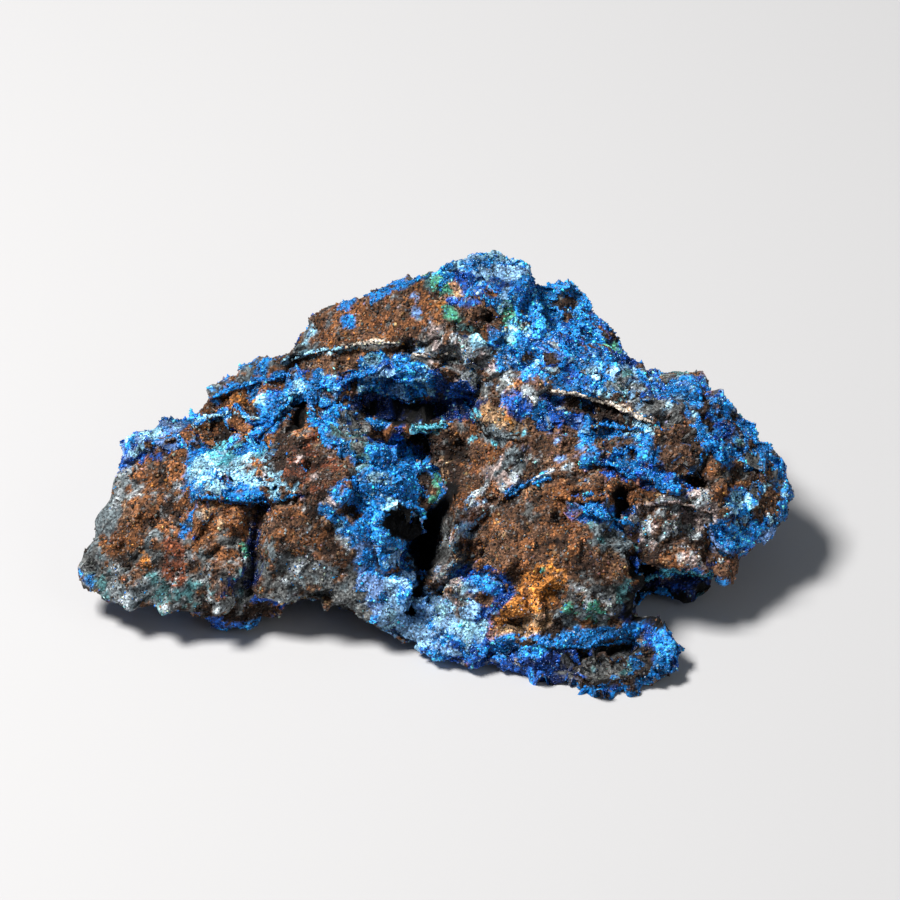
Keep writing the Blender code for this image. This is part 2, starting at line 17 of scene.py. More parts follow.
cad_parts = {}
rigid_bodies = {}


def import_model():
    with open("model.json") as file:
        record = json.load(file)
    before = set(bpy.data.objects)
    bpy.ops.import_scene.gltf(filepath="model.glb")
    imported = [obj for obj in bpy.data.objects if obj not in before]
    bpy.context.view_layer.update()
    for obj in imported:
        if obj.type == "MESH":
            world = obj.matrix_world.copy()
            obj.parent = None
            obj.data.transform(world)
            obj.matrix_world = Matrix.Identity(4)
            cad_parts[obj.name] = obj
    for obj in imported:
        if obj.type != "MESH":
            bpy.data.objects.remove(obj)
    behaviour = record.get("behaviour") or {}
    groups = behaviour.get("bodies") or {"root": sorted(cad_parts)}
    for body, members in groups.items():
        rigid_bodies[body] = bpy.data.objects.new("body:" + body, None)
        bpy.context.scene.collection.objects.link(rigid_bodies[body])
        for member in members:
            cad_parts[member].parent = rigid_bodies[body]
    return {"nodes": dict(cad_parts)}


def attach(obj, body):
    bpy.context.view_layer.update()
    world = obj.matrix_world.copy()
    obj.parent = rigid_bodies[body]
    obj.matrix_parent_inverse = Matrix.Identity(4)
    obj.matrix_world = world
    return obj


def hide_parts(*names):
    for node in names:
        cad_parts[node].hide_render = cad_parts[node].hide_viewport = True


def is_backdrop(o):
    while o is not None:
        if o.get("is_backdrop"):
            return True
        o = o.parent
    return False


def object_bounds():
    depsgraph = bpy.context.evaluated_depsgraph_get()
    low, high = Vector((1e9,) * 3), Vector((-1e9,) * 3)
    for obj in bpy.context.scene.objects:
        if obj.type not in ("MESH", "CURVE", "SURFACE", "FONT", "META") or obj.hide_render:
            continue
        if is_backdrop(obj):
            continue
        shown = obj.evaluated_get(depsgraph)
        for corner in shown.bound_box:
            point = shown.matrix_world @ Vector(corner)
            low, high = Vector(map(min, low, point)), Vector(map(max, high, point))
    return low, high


bl_info = {
    "name": "Azurite specimen",
    "version": (1, 0, 0),
    "blender": (4, 5, 0),
    "location": "3D View > Sidebar > Azurite",
    "description": "Dresses the packed solids of an azurite specimen",
    "category": "Object",
}

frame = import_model()
CAD_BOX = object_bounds()

MM = 0.001
VIEW_ELEVATION = math.radians(40)  # the show face is seen square on from this far above the table
SIN, COS = math.sin(VIEW_ELEVATION), math.cos(VIEW_ELEVATION)
TOWARDS_VIEWER = np.array((0.0, -COS, SIN))
SHOW_ORIGIN = (0.43, 7.74)  # x and y of the show face's own origin, in millimetres
TABLE_GAP = 0.02  # what grows on the rock stays this far off the table, in millimetres
OUTSIDE = 60.0  # farther towards the viewer than any of the specimen, in millimetres
SOLID_FILL = 0.97  # a zone that is filled more than this has no gaps in it

# name: colour, how far crystals cover it, their width in mm, height of its growth in mm, what it is
PALETTE = {
    "brown": ((0.120, 0.062, 0.036), 0.0, 0.175, 0.0, "brown limonite"),
    # umber is a dark brown of the limonite; where rows lay it under plate lips and in hollows it also stands
    # for painted shade
    "umber": ((0.035, 0.020, 0.014), 0.0, 0.175, 0.0, "dark brown limonite in hollows"),
    "rust": ((0.215, 0.088, 0.035), 0.0, 0.175, 0.0, "rusty granular limonite"),
    "red": ((0.150, 0.048, 0.024), 0.0, 0.175, 0.0, "red-brown iron stain"),
    "ochre": ((0.560, 0.220, 0.050), 0.0, 0.175, 0.0, "orange ochre"),
    "tan": ((0.400, 0.250, 0.140), 0.0, 0.175, 0.0, "tan clay-like limonite"),
    "cream": ((0.720, 0.640, 0.540), 0.0, 0.175, 0.0, "cream edge of a thin plate"),
    "grey": ((0.095, 0.100, 0.100), 0.30, 0.17, 0.05, "grey crystalline coating"),
    "slate": ((0.120, 0.150, 0.165), 0.15, 0.16, 0.03, "smooth blue-grey coating"),
    "silver": ((0.260, 0.295, 0.315), 0.70, 0.18, 0.05, "pale grey sparkling druse"),
    "rose": ((0.330, 0.260, 0.245), 0.50, 0.17, 0.05, "pinkish grey sparkling druse"),
    "teal": ((0.070, 0.185, 0.200), 0.45, 0.17, 0.08, "teal mixed crystals"),
    "green": ((0.085, 0.370, 0.245), 0.80, 0.18, 0.12, "green malachite"),
    "cyan": ((0.120, 0.520, 0.680), 0.80, 0.19, 0.15, "pale cyan azurite"),
    "pale": ((0.300, 0.600, 0.800), 0.75, 0.20, 0.12, "pale blue azurite"),
    "powder": ((0.225, 0.440, 0.720), 0.45, 0.16, 0.12, "powder blue azurite"),
    "lilac": ((0.150, 0.280, 0.580), 0.35, 0.15, 0.10, "lilac blue azurite"),
    "azure": ((0.009, 0.195, 0.570), 1.0, 0.21, 0.22, "bright blue azurite"),
    "royal": ((0.005, 0.062, 0.320), 1.0, 0.22, 0.22, "deep blue azurite"),
    # navy is the deep blue of azurite; where rows lay it in the hollows and under the wing's rim it also
    # stands for painted shade
    "navy": ((0.003, 0.014, 0.085), 0.9, 0.22, 0.18, "blue-black azurite"),
    # black is painted shade: the dark inside deep cracks and hollows
    "black": ((0.004, 0.003, 0.003), 0.0, 0.20, 0.0, "the dark of a deep crack"),
}


def table(text):
    """Rows that are kept as text. A line has entries parted by commas, a colon, and the path that they
    share: across and up on the show face for each of its points, in tenths of a millimetre."""
    rows = []
    for line in text.strip().splitlines():
        if not line.startswith("#"):
            entries, path = line.split(":")
            numbers = [int(word) / 10 for word in path.split()]
            path = tuple(zip(numbers[::2], numbers[1::2]))
            for entry in entries.split(","):
                rows.append((*(word if word.isalpha() else float(word) for word in entry.split()), path))
    return rows


# What shows where: kind, how much of the place it fills, half width in mm, and its middle line
ZONES = table("""
# left lobe
rust 0.85 3.2, umber 0.25 3: -243 8 -228 -21 -218 -54
slate 0.95 1.5: -267 11 -275 -21 -285 -58
silver 0.3 0.7: -263 8 -270 -21
grey 0.85 1.9: -287 -79 -252 -94 -210 -101 -172 -98
slate 0.45 1.8: -287 -79 -252 -94 -210 -101
brown 0.14 1.8: -281 -83 -235 -96 -181 -96
teal 0.22 1.8: -281 -92 -235 -102 -181 -96
silver 0.22 0.5: -275 -106 -243 -111 -208 -109
grey 0.62 1.5: -252 -58 -202 -72
slate 0.25 1.5: -252 -62 -198 -75
umber 0.14 1.6: -268 -71 -202 -92
red 0.95 0.95: -222 -62 -220 -86
ochre 0.6 0.45: -248 -64 -243 -72
rust 0.6 0.9: -277 -58 -256 -54
lilac 0.95 1.4: -265 16 -256 29 -235 38 -202 32
royal 0.45 1.3: -262 14 -243 25 -231 28
azure 0.5 0.8: -260 29 -235 38 -198 25
brown 0.45 0.6: -245 32 -227 34
pale 0.3 0.9: -263 22 -243 36 -206 32
azure 0.9 0.5: -299 -82 -292 -89
# pale patch and what hangs from it
azure 0.95 1.6: -198 -12 -197 11 -181 22
pale 0.85 1.9: -192 -2 -178 11 -160 11
cyan 0.8 1.3: -178 22 -157 24
azure 0.6 0.9: -177 29 -155 28
pale 0.85 1.6: -160 6 -128 -6
silver 0.45 1.5: -158 4 -127 -2
rust 0.22 1.3: -150 8 -120 -2
azure 0.85 0.34: -203 -12 -209 -33 -213 -51
azure 0.55 0.38: -190 -17 -150 -21 -117 -15
royal 0.5 0.4: -177 -21 -116 -17
brown 0.9 0.4: -163 4 -160 1
rust 0.95 0.6: -129 2 -119 -7
azure 0.95 0.9: -153 31 -139 48 -127 68
rust 0.85 1.5: -202 38 -170 44
umber 0.35 1.3: -193 36 -164 42
ochre 0.9 0.5: -161 40 -151 39
# crack beside the middle block
rust 0.75 1.8: -192 -31 -168 -46
tan 0.12 1.5: -192 -31 -172 -42
umber 0.6 0.9: -148 -23 -152 -58 -158 -88
navy 0.8 0.6: -147 -21 -153 -50 -162 -71
navy 0.7 1.1: -172 -92 -155 -76
royal 0.12 1.1: -172 -92 -155 -81
silver 0.14 1.6: -183 -83 -150 -79
grey 0.6 0.8: -178 -52 -164 -61
green 0.7 0.35: -162 -54 -160 -64
# middle block
rust 0.7 2.8: -127 -38 -98 -58
brown 0.45 2.8: -131 -29 -77 -71
umber 0.25 3: -131 -38 -77 -71
grey 0.6 2.6: -145 -88 -102 -92 -64 -104
slate 0.3 2.4: -139 -71 -85 -96
silver 0.14 2.6: -131 -79 -77 -100
red 0.45 2.2: -118 21 -98 -4
umber 0.45 2: -131 25 -100 -12
rose 0.12 1.8: -108 21 -89 -12
ochre 0.7 0.4: -137 -107 -118 -108
royal 0.7 0.45: -152 -102 -128 -108
umber 0.9 1.2: -208 -114 -181 -118 -150 -114
azure 0.85 0.6: -210 -124 -177 -131 -150 -126
royal 0.5 0.7: -189 -119 -168 -121
silver 0.2 0.35: -114 -108 -85 -114
# upper left ledges
rust 0.85 1.8: -192 56 -156 59
umber 0.4 1.2: -185 54 -156 58
rust 0.7 1.4: -168 74 -143 79
brown 0.8 1.6: -135 89 -85 94
pale 0.85 0.3: -208 46 -181 50 -150 48
azure 0.85 0.45: -200 61 -172 73 -127 84
slate 0.6 0.9: -192 68 -168 82 -150 96
azure 0.4 0.9: -189 68 -160 86 -131 94
pale 0.8 0.35: -131 96 -102 104 -72 107
cream 0.9 0.25: -81 107 -33 108 7 102
slate 0.9 0.9: -120 104 -105 126 -88 142
pale 0.35 0.5: -118 108 -103 129 -89 141
rust 0.9 2.4: -89 125 -52 136 -18 142
brown 0.4 2.2: -89 125 -52 131 -18 136
slate 0.12 2.2: -89 125 -52 136 -18 142
azure 0.75 0.55: -81 143 -56 149 -25 166 0 178
azure 0.98 0.5: -79 129 -76 126
green 0.5 0.7: -15 166 -2 162
lilac 0.3 0.4: -25 150 -22 133
grey 0.6 0.9: -14 121 2 112
# blue band under the ledges
azure 0.92 0.8: -157 36 -143 54 -118 69
rust 0.92 0.85: -192 59 -175 63 -162 62
ochre 0.5 0.6: -172 61 -160 62
umber 0.5 0.5: -183 57 -164 58
azure 0.95 0.32: -203 48 -181 51 -153 48
pale 0.08 0.9: -148 62 -114 75
azure 0.85 1.3: -118 71 -76 69
brown 0.85 0.8: -75 72 -63 62
royal 0.9 0.6: -85 78 -56 86
azure 0.9 1.7: -53 86 -35 82 -15 86
azure 0.95 1.2: -58 78 -35 74 -15 74
royal 0.22 1.5: -52 84 -15 76
cyan 0.12 1.5: -56 91 -14 84
green 0.7 0.5: -28 76 -25 72
pale 0.1 1.3: -58 91 -18 81
brown 0.9 0.7: -8 91 8 94
navy 0.98 0.95: -67 59 -35 57 -2 56 23 55
azure 0.92 0.75: -63 72 -37 71 -13 71
pale 0.12 0.8: -62 74 -13 72
royal 0.8 1.6: 5 76 20 66
navy 0.5 1.4: -2 67 30 56
silver 0.15 1.4: 2 81 23 67
black 0.72 0.85: -57 53 -39 55 -12 53
black 0.98 0.4: -42 59 -18 59
black 0.95 0.6: -118 56 -121 38
black 0.98 0.5: -50 47 -25 45
# cascade
azure 0.85 1: -103 46 -85 42
grey 0.75 1.5: -75 42 -65 11
teal 0.35 1.3: -81 38 -62 17
silver 0.35 1.1: -78 44 -58 17
azure 0.8 0.6: -84 33 -75 14
azure 0.9 0.45: -55 42 -47 42
cyan 0.95 0.5: -20 39 1 40
royal 0.9 1.1: -39 34 -38 14
azure 1 2.4: -37 11 -48 -17 -48 -39
pale 0.35 1.3: -52 -6 -39 -21
azure 0.9 1.2: -83 -12 -48 -14
umber 0.9 0.6: -78 -26 -71 -32
pale 0.75 0.7, azure 0.6 0.8: -95 -28 -83 -39 -75 -52
azure 0.95 1: -28 17 -8 2
azure 0.95 1: -23 -8 -18 -33
azure 0.98 0.5: -22 9 -10 1 2 -8
green 0.98 0.6: -8 -2 2 -10 -4 -21
cyan 0.6 0.3: -18 8 2 -6
umber 0.8 0.5: -12 -2 -15 -25
azure 0.85 1.1: -64 -42 -52 -46
black 0.98 1.2: -35 -39 -18 -50 -17 -67
azure 0.95 0.8: -38 -58 -25 -64
# gully
rust 0.88 2.3, brown 0.32 2.3: 47 25 25 -8 5 -46
umber 0.5 1.6: -2 -38 -2 -75
grey 0.6 1.5: 7 -38 0 -75
umber 0.8 1.2: -5 36 15 21
umber 0.6 0.9: 17 17 7 -4
black 0.98 0.55: 7 -11 -4 -33 -11 -58 -17 -83
tan 0.97 0.95: 38 51 65 44
ochre 0.3 0.8: 40 52 63 46
cyan 0.7 0.4: 24 32 44 29 66 32
cyan 0.6 0.3: 12 -58 20 -51 27 -44
cyan 0.6 0.45: 28 56 35 38
slate 0.6 1: 40 36 69 29
# lower centre
lilac 0.9 1.2: -62 -64 -57 -89 -43 -117
azure 0.5 1.1: -63 -68 -58 -92 -47 -114
azure 0.8 1.3: -33 -68 -33 -88 -27 -108
powder 0.55 1.3: -37 -72 -33 -96 -25 -111
powder 0.98 2.2: -33 -128 -10 -122 19 -134
powder 0.95 1.7: -10 -108 13 -122
azure 0.25 2: -33 -128 -10 -122 19 -134
silver 0.98 1.2: 8 -82 15 -108
rose 0.6 1.3: 5 -82 17 -106
pale 0.16 1.2: 7 -82 17 -106
powder 0.25 1.2: 7 -88 15 -111
brown 0.95 0.6: -5 -92 5 -94
royal 0.95 1.8: 32 -83 48 -101 38 -119
powder 0.7 0.7: 30 -91 42 -111
brown 0.9 0.5: 32 -99 38 -104
brown 0.8 0.4: 42 -118 45 -121
azure 0.5 0.8: 23 -81 52 -96
royal 0.85 1.4: 15 -146 36 -150 52 -158
azure 0.55 1.3: 23 -138 48 -146
silver 0.9 0.35: 43 -154 58 -155
ochre 0.9 0.4: -35 -138 -30 -140
ochre 0.8 0.4: 24 -162 30 -162
pale 0.3 2: -31 -128 -10 -122 17 -129
black 0.98 0.28: -12 -76 -19 -98 -25 -114
# right block
brown 0.85 3.2: 42 -54 82 -46 111 -67
rust 0.55 2.8: 44 -58 98 -50
umber 0.35 2.6: 32 -50 119 -46
grey 0.22 1.2: 32 -38 82 -25
grey 0.45 1.9: 111 -96 142 -104
umber 0.35 1.7: 111 -83 144 -96
ochre 0.97 1.75: 86 -83 73 -104 58 -128
rust 0.16 1.5: 88 -88 73 -104 58 -128
tan 0.85 1.1: 51 -132 65 -126 83 -121
silver 0.3 0.8: 82 -71 95 -82
green 0.14 0.9: 82 -71 95 -84
green 0.55 0.8: 107 -109 132 -116
pale 0.22 0.7: 105 -108 130 -114
silver 0.28 1.4: 107 -101 135 -109
slate 0.6 0.9: 98 -119 132 -122
powder 0.42 1.1: 20 -46 32 -21 47 -4
silver 0.45 1.3: 15 -52 35 -21 48 -8
rose 0.35 1.2: 18 -49 35 -21 48 -8
brown 0.45 1.3, umber 0.15 1.2: 20 -49 35 -21 48 -8
slate 0.6 1.3: 40 0 72 14
rose 0.4 1.2: 40 -2 73 11
azure 0.95 0.5: 56 -16 73 -4 91 -2
silver 0.35 1.5: 69 6 111 4
brown 0.5 1.5: 82 4 132 -2
rust 0.8 0.8: 95 -16 138 -16
azure 0.98 0.9, royal 0.45 0.8: 118 -29 137 -36 155 -38
teal 0.7 0.6: 124 -43 133 -54
slate 0.85 1.2: 130 -50 147 -56
royal 0.95 0.45: 158 -41 158 -76
black 0.98 0.75: 148 -15 147 -32
black 0.9 0.3: 155 -71 157 -98
# foot
royal 0.9 1.7: 55 -148 86 -154 108 -161
navy 0.6 1.5: 73 -150 105 -161
azure 0.5 1: 52 -144 82 -142
azure 0.95 0.9: 79 -134 123 -134 158 -129
azure 0.97 1.1: 157 -109 178 -125 198 -144
azure 1 1.6: 173 -150 195 -150
royal 0.3 1.4: 173 -146 198 -154
grey 0.9 1.6: 115 -156 136 -154 158 -150
umber 0.6 1.5: 115 -158 136 -158 157 -152
teal 0.25 1.4: 123 -161 152 -156
azure 0.9 0.7: 111 -174 136 -181 167 -178
royal 0.6 0.8: 132 -179 165 -176
azure 0.9 0.45: 158 -138 162 -161 155 -174
black 0.95 0.3: 103 -154 130 -146 160 -142
black 0.6 0.25: 123 -171 150 -165 167 -152
umber 0.6 0.8: 69 -138 94 -122
# right wing
royal 0.9 1.7: 67 61 86 56 102 52
azure 0.45 1.5, silver 0.12 1.5: 67 62 102 54
brown 0.8 1.8: 75 31 111 25
lilac 0.08 1.8: 73 38 111 28
azure 0.96 1.05: 121 14 119 34 136 43 165 43 172 29
brown 0.85 1.1, teal 0.3 1: 134 27 150 21
royal 0.95 1.3: 143 9 173 1
azure 0.65 1.2: 147 16 172 12
azure 0.9 1.1, royal 0.5 1.1: 178 4 200 -9
umber 0.95 0.8: 207 -2 215 -12
brown 0.85 1.5, umber 0.4 1.5: 182 36 203 28
azure 0.9 1.2: 207 61 233 56
azure 0.75 1.6: 218 42 240 21
brown 0.4 1.6: 218 38 244 17
teal 0.3 1.4: 232 42 252 21
green 0.85 0.4: 248 21 252 16
green 0.6 0.4: 258 14 262 11
grey 0.7 1.4: 257 21 286 4
brown 0.4 1.4: 252 12 278 -8
azure 0.35 1.6: 248 29 286 4
rose 0.8 2.5: 173 -38 207 -38 219 -58
brown 0.4 2.4: 178 -46 215 -62
umber 0.25 2.2: 173 -54 219 -71
silver 0.32 2.3: 178 -33 219 -54
silver 0.3 0.9: 192 -25 235 -28
azure 0.95 1.2: 292 -2 295 -21 287 -36
azure 0.95 1.4: 247 -21 262 -38 248 -50
azure 0.95 1.1: 230 -48 243 -64
lilac 0.7 0.6: 267 -50 286 -46
pale 0.36 1.6: 244 -25 297 -21
brown 0.9 1: 269 -29 275 -21
brown 0.9 1.1: 230 -75 247 -78
navy 0.98 1.9: 163 -106 190 -99 228 -101
royal 0.35 1: 173 -94 215 -98
black 0.98 1.6: 163 -106 182 -109 215 -111 228 -101
azure 0.95 0.45: 162 -91 173 -82 188 -78 215 -80 235 -88
cyan 0.35 0.4: 173 -82 188 -78 215 -80 235 -88
azure 0.95 0.42: 227 -88 237 -92 244 -88 247 -76
rust 0.5 1: 132 -2 173 -17
# behind the plate
umber 0.98 0.9: 107 60 132 51 167 41
slate 0.95 2: 125 81 173 72 215 69
powder 0.38 1.9: 125 83 175 71 215 67
teal 0.32 1.8: 125 83 175 67
silver 0.38 1.8: 125 83 175 65
azure 0.28 1.8: 128 89 173 72 207 69
umber 0.3 1.8: 128 83 207 64
azure 0.55 2.2: 207 67 230 52 257 29
grey 0.5 1.4: 180 58 202 46
silver 0.2 1.8: 180 58 240 46
cream 0.98 0.24: 88 69 111 67 132 61 155 53 175 44
# crown
azure 0.98 2.8: 17 169 40 176 65 158
pale 0.34 2.4: 22 176 58 169
royal 0.18 2.2: 15 154 65 146
rust 0.35 0.8: 30 157 40 154
brown 0.8 0.9: -10 158 -2 146
tan 0.8 0.6, ochre 0.25 0.6: 0 144 8 156
green 0.9 0.5: 6 138 12 129
cyan 0.7 0.7, green 0.5 0.7: 55 136 62 124
umber 0.98 1.35, brown 0.65 1.35: 29 128 43 126
rust 0.6 0.6: 35 119 42 118
umber 0.98 0.35: 37 130 39 128
teal 0.6 0.8: 17 121 30 114
azure 0.85 0.9: 44 114 65 114
pale 0.95 0.7: 27 109 46 106
grey 0.85 2.2: -2 104 19 88 40 81
brown 0.38 2.2: -2 112 19 92 36 81
powder 0.12 2, rose 0.25 2: -2 108 32 81
silver 0.42 2: 8 104 44 81
azure 0.95 2.5: 65 104 95 98 119 81
royal 0.26 2.2: 82 104 119 83
umber 0.12 2.2: 73 108 111 92
silver 0.12 2.2: 65 104 119 81
azure 0.98 1.7: 86 136 92 156 119 149
grey 0.9 0.8: 100 152 109 148
umber 0.8 0.6: 98 148 110 145
royal 0.7 0.8: 111 131 132 128
rust 0.9 0.5: 130 125 137 121
azure 0.8 0.9: 119 129 138 112
green 0.5 0.6: 137 108 153 100
royal 0.6 0.7: 142 104 158 96
powder 0.28 2.4: 23 178 58 167
royal 0.92 1: 5 73 20 66
navy 0.35 0.9: 3 69 22 62
brown 0.8 0.8: -7 94 5 86
umber 0.45 1.8: 120 -161 142 -159 160 -152
azure 0.95 0.45: 111 -176 136 -182 167 -174 173 -161
grey 0.45 1.2: 123 -158 142 -156 157 -151
teal 0.35 0.9: -10 169 0 158
green 0.25 0.7: -8 169 2 154
green 0.6 0.6, pale 0.4 0.5: 56 139 59 119
pale 0.12 2.4: 73 112 111 88
rust 0.15 1.2: 17 -51 33 -22 47 -9
slate 0.12 2.6, silver 0.08 2.6: -243 -4 -218 -46
silver 0.08 2.8: -127 -38 -77 -62
pale 0.5 1.2: -166 -4 -130 -12
azure 0.35 0.8: -178 -12 -150 -17
pale 0.07 1.9, powder 0.08 1.9: 132 82 173 72 212 68
pale 0.18 1.2: 123 32 165 38
pale 0.05 1.6: 215 56 244 29
azure 0.95 0.55: 225 -86 237 -92 247 -86 248 -76
teal 0.5 0.35: 155 -58 153 -83 147 -104
green 0.45 0.5: 123 -104 133 -111
pale 0.14 1.3: -127 66 -85 71
pale 0.14 1.4: -58 86 -14 79
silver 0.25 1.6: 3 102 30 91
brown 0.35 2.6: 48 -61 94 -61
pale 0.2 1.2: 7 -84 17 -108
teal 0.12 1.8, silver 0.1 1.8: -277 -83 -235 -96 -181 -94
umber 0.25 1.8: 132 81 173 71 207 64
azure 0.75 0.8: -153 64 -143 59
azure 0.8 0.8, royal 0.25 0.8: 12 148 25 146
royal 0.28 1.6, umber 0.15 1.6: 220 48 244 38 261 25
azure 0.4 1.3, royal 0.12 1.3: 135 84 169 76 207 69
royal 0.3 1.1: 175 -131 190 -150
azure 0.3 1.2, powder 0.15 1.2: -55 82 -15 76
silver 0.2 1.2, powder 0.15 1.2: 3 -84 20 -108
""")

# Carving of the show face along the line of sight: half width and depth in mm, and its middle line. A depth
# below zero fills up.
CRACKS = table("""
0.36 0.8: -148 -21 -153 -58 -160 -96
0.3 1.3: -12 -74 -19 -98 -25 -114
0.4 1: 156 -58 155 -75 158 -96
0.36 0.6: 103 -155 130 -145 161 -142
0.8 0.6: 122 -161 143 -158 162 -150
0.3 0.3: 108 -161 122 -179
1 2: -37 -39 -20 -48 -17 -69
0.9 2.3: -62 53 -35 53 -2 53
1 1.2: -2 58 22 56
0.5 1.2: -48 47 -27 45
0.6 1.6: -118 58 -121 36
0.75 1.8: 148 -15 147 -34
1.2 -0.8: 30 128 44 126
0.32 0.9: 37 130 39 128
0.7 0.8: 99 152 110 147
0.6 1: 207 -4 215 -11
0.5 0.8: -78 -26 -71 -32
0.4 0.8: -14 -1 -15 -21
0.8 0.6: -39 31 -38 16
0.45 0.5: 1 -92 2 -94
0.5 1: 72 146 75 128
1.65 -2.8: 8 -28 2 -50 -2 -74
0.9 -0.9: 32 -54 27 -71
1 0.9: 167 -101 190 -98 222 -102
0.8 0.9: 112 59 136 52 165 42
1.6 -0.4: 32 4 11 -38
0.35 -0.3: -5 -89 7 -88 8 -99
""")

# Ledges of the show face: how far the rock steps out above the line, in mm, what the broken lip shows above
# and below, its thickness in mm, and its line from left to right
# Umber, navy and black below a lip are painted shade under it.
LEDGES = table("""
1.1 cream umber 0.34: 88 69 111 67 132 61 155 53 175 44
0.7 cream umber 0.22: -81 107 -56 108 -33 108
0.7 cream brown 0.2: -28 101 -10 99 7 102
0.7 pale brown 0.24: -131 96 -102 104 -75 107
0.6 pale brown 0.24: -208 46 -181 50 -150 47
0.6 azure brown 0.26: -200 60 -172 72 -127 83
0.7 azure navy 0.32: -85 77 -70 82 -53 87
0.8 cyan umber 0.36: -22 38 -10 40 2 41
0.7 azure umber 0.3: -57 42 -45 43
0.9 azure umber 0.22: -205 -18 -177 -19 -150 -23 -116 -17
0.8 azure umber 0.34: -156 28 -142 42 -125 64
0.8 rust umber 0.4: 95 -18 115 -20 139 -18
0.7 azure brown 0.32: 56 -17 73 -7 91 -4
1 azure black 0.4: 117 -27 132 -35 157 -41
1.2 cyan black 0.42: 160 -92 173 -83 188 -79 215 -81 228 -86
0.8 azure umber 0.34: 79 -138 115 -141 158 -136
0.9 azure umber 0.34: 118 10 142 9 155 -1 173 -2 182 -13 194 -16 203 -8
0.7 azure brown 0.3: 118 39 136 42 167 39
0.6 slate umber 0.3: 23 61 37 34 66 28
0.9 azure umber 0.36: -39 -61 -32 -58 -22 -64
0.7 powder brown 0.3: 20 -48 37 -28
0.8 lilac umber 0.34: 217 -38 228 -58 247 -68
0.8 rose umber 0.34: 165 -25 192 -21 225 -31
0.5 royal brown 0.28: 22 -81 40 -76 57 -98
""")

# Small pushes of the outline: half width, how far across and how far up in mm, and the middle
PUSHES = table("""
1.5 0.7 0.6: 64 172
1.8 -0.05 0.5: 20 178
1.6 0 0.35: 44 182
1 -0.5 -0.45: 118 159
1.2 -0.25 0.3: 92 158
1.8 -0.25 0.52: -10 169
0.7 0 -0.3: 32 188
0.8 0 0.3: 50 182
1.3 -0.2 0.25: -96 140
1.5 -0.45 0.35: -191 71
1.4 -0.15 0.58: -250 39
1.2 0 0.35: -222 42
1.7 1.25 0: 294 -21
1 0.6 -0.3: 280 -49
1.4 0.4 0.35: 212 81
1.1 -0.4 -0.3: 278 24
1.3 0.6 0.8: 172 -114
1.6 0.85 0.5: 195 -138
1 0.1 -0.7: 238 -86
1.6 0 -0.75: 25 -161
1.8 0 -0.75: 82 -172
1.3 0.35 0: 198 -154
2.4 0 -0.4: 136 -181
2.4 -0.15 -0.5: -56 -128
1.6 -0.4 -0.55: -282 -102
1.2 -0.1 -0.65: -189 -128
1 0.15 -0.55: -160 -129
1.6 1.2 0: -278 -4
1.2 0.3 0: -290 -46
2.2 0.2 -0.4: -53 158
1.8 -0.6 -0.25: 132 141
1.6 -0.2 -0.85: 185 92
2.4 -0.35 -0.3: 261 42
1.2 -0.7 0.1: 250 -71
1 -0.25 0.45: 247 -67
2 0 0.2: 207 -108
0.9 0 0.4: -143 -112
""")

# Where the show face is worn smooth: how much, half width in mm, and its middle line
CALM = table("""
0.75 2.8: -98 122 -56 133 -14 142
0.75 1.6: -268 8 -277 -25 -287 -61
0.7 1.6: 42 29 17 -4 3 -38
0.6 1.5: -265 16 -256 29 -235 36 -198 29
0.5 2.4: -31 -125 -2 -121 19 -134
0.5 1.5: -62 -64 -57 -89 -43 -114
0.45 3.2: -143 -54 -77 -71
0.4 3.2: -248 -4 -218 -46
0.55 3: 17 169 44 176 67 158
0.35 3: 48 -54 107 -71
0.6 1.3: 111 -179 140 -185 169 -178
0.45 2: 115 -156 165 -158
0.7 1.1: 38 51 65 44
""")

# What grows where no zone says so: kind, share of the ground, width of a patch in mm
GROUND = (("rust", 0.30, 3.0), ("umber", 0.22, 1.6), ("grey", 0.10, 1.1), ("tan", 0.05, 0.9))
FAR_SIDE = (
    ("brown", 0.50, 4.5), ("grey", 0.26, 4.0), ("azure", 0.34, 5.5), ("royal", 0.16, 3.0),
    ("teal", 0.05, 2.2), ("azure", 0.04, 1.0), ("ochre", 0.02, 1.6), ("green", 0.01, 1.0),
)
CRUST_GROUND = (("royal", 0.30, 1.2), ("pale", 0.10, 0.9), ("brown", 0.10, 1.2), ("navy", 0.06, 1.0))
MIXED_CRUST = (("royal", 0.30, 1.2), ("brown", 0.42, 1.5), ("grey", 0.22, 1.1), ("azure", 0.15, 0.8))
MIXED_CRUSTS = ("azurite_wing_chain", "azurite_wing_rim", "azurite_plate", "azurite_foot")
FAMILIES = {"azurite": 0, "malachite": 1, "quartz": 2, "limonite": 3}
FAMILY_OF = {
    kind: family
    for family, kinds in (
        ("malachite", "green teal"),
        ("quartz", "grey silver rose slate"),
        ("limonite", "brown umber rust red ochre tan cream black"),
    )
    for kind in kinds.split()
}
# Of each family's grains, a few have another kind's tint: which kinds, and how many grains in all
STRAYS = {
    "azurite": (("pale", "cyan", "navy", "azure", "royal", "navy"), 0.13),
    "malachite": (("azure", "silver", "cyan", "umber"), 0.35),
    "quartz": (("azure", "umber", "pale", "rust", "umber", "silver", "azure"), 0.40),
    "limonite": (("tan", "umber", "grey", "umber", "slate", "umber", "ochre", "grey", "silver"), 0.42),
}
# What is sown: family, name of its pieces, their sides, its material, roughness and refractive index
DRUSE = (
    ("azurite", "azurite_druse", ("left", "right", "back"), "Azurite crystals", 0.2, 1.52),
    ("malachite", "malachite_druse", ("front", "back"), "Malachite crystals", 0.35, 1.55),
    ("quartz", "grey_druse", ("front", "back"), "Grey crystals", 0.25, 1.5),
    ("limonite", "limonite_crumbs", ("front", "back"), "Limonite crumbs", 0.6, 1.35),
)

# The stage: where the camera looks and from how far, its sensor and lens in mm, and the light of the room
CAMERA_TARGET = np.array((1.10, 0.25, 9.0)) * MM
CAMERA_DISTANCE, CAMERA_SENSOR, CAMERA_LENS = 0.6, 36, 288
ROOM_COLOUR, ROOM_STRENGTH = (0.85, 0.92, 1.0, 1), 0.13
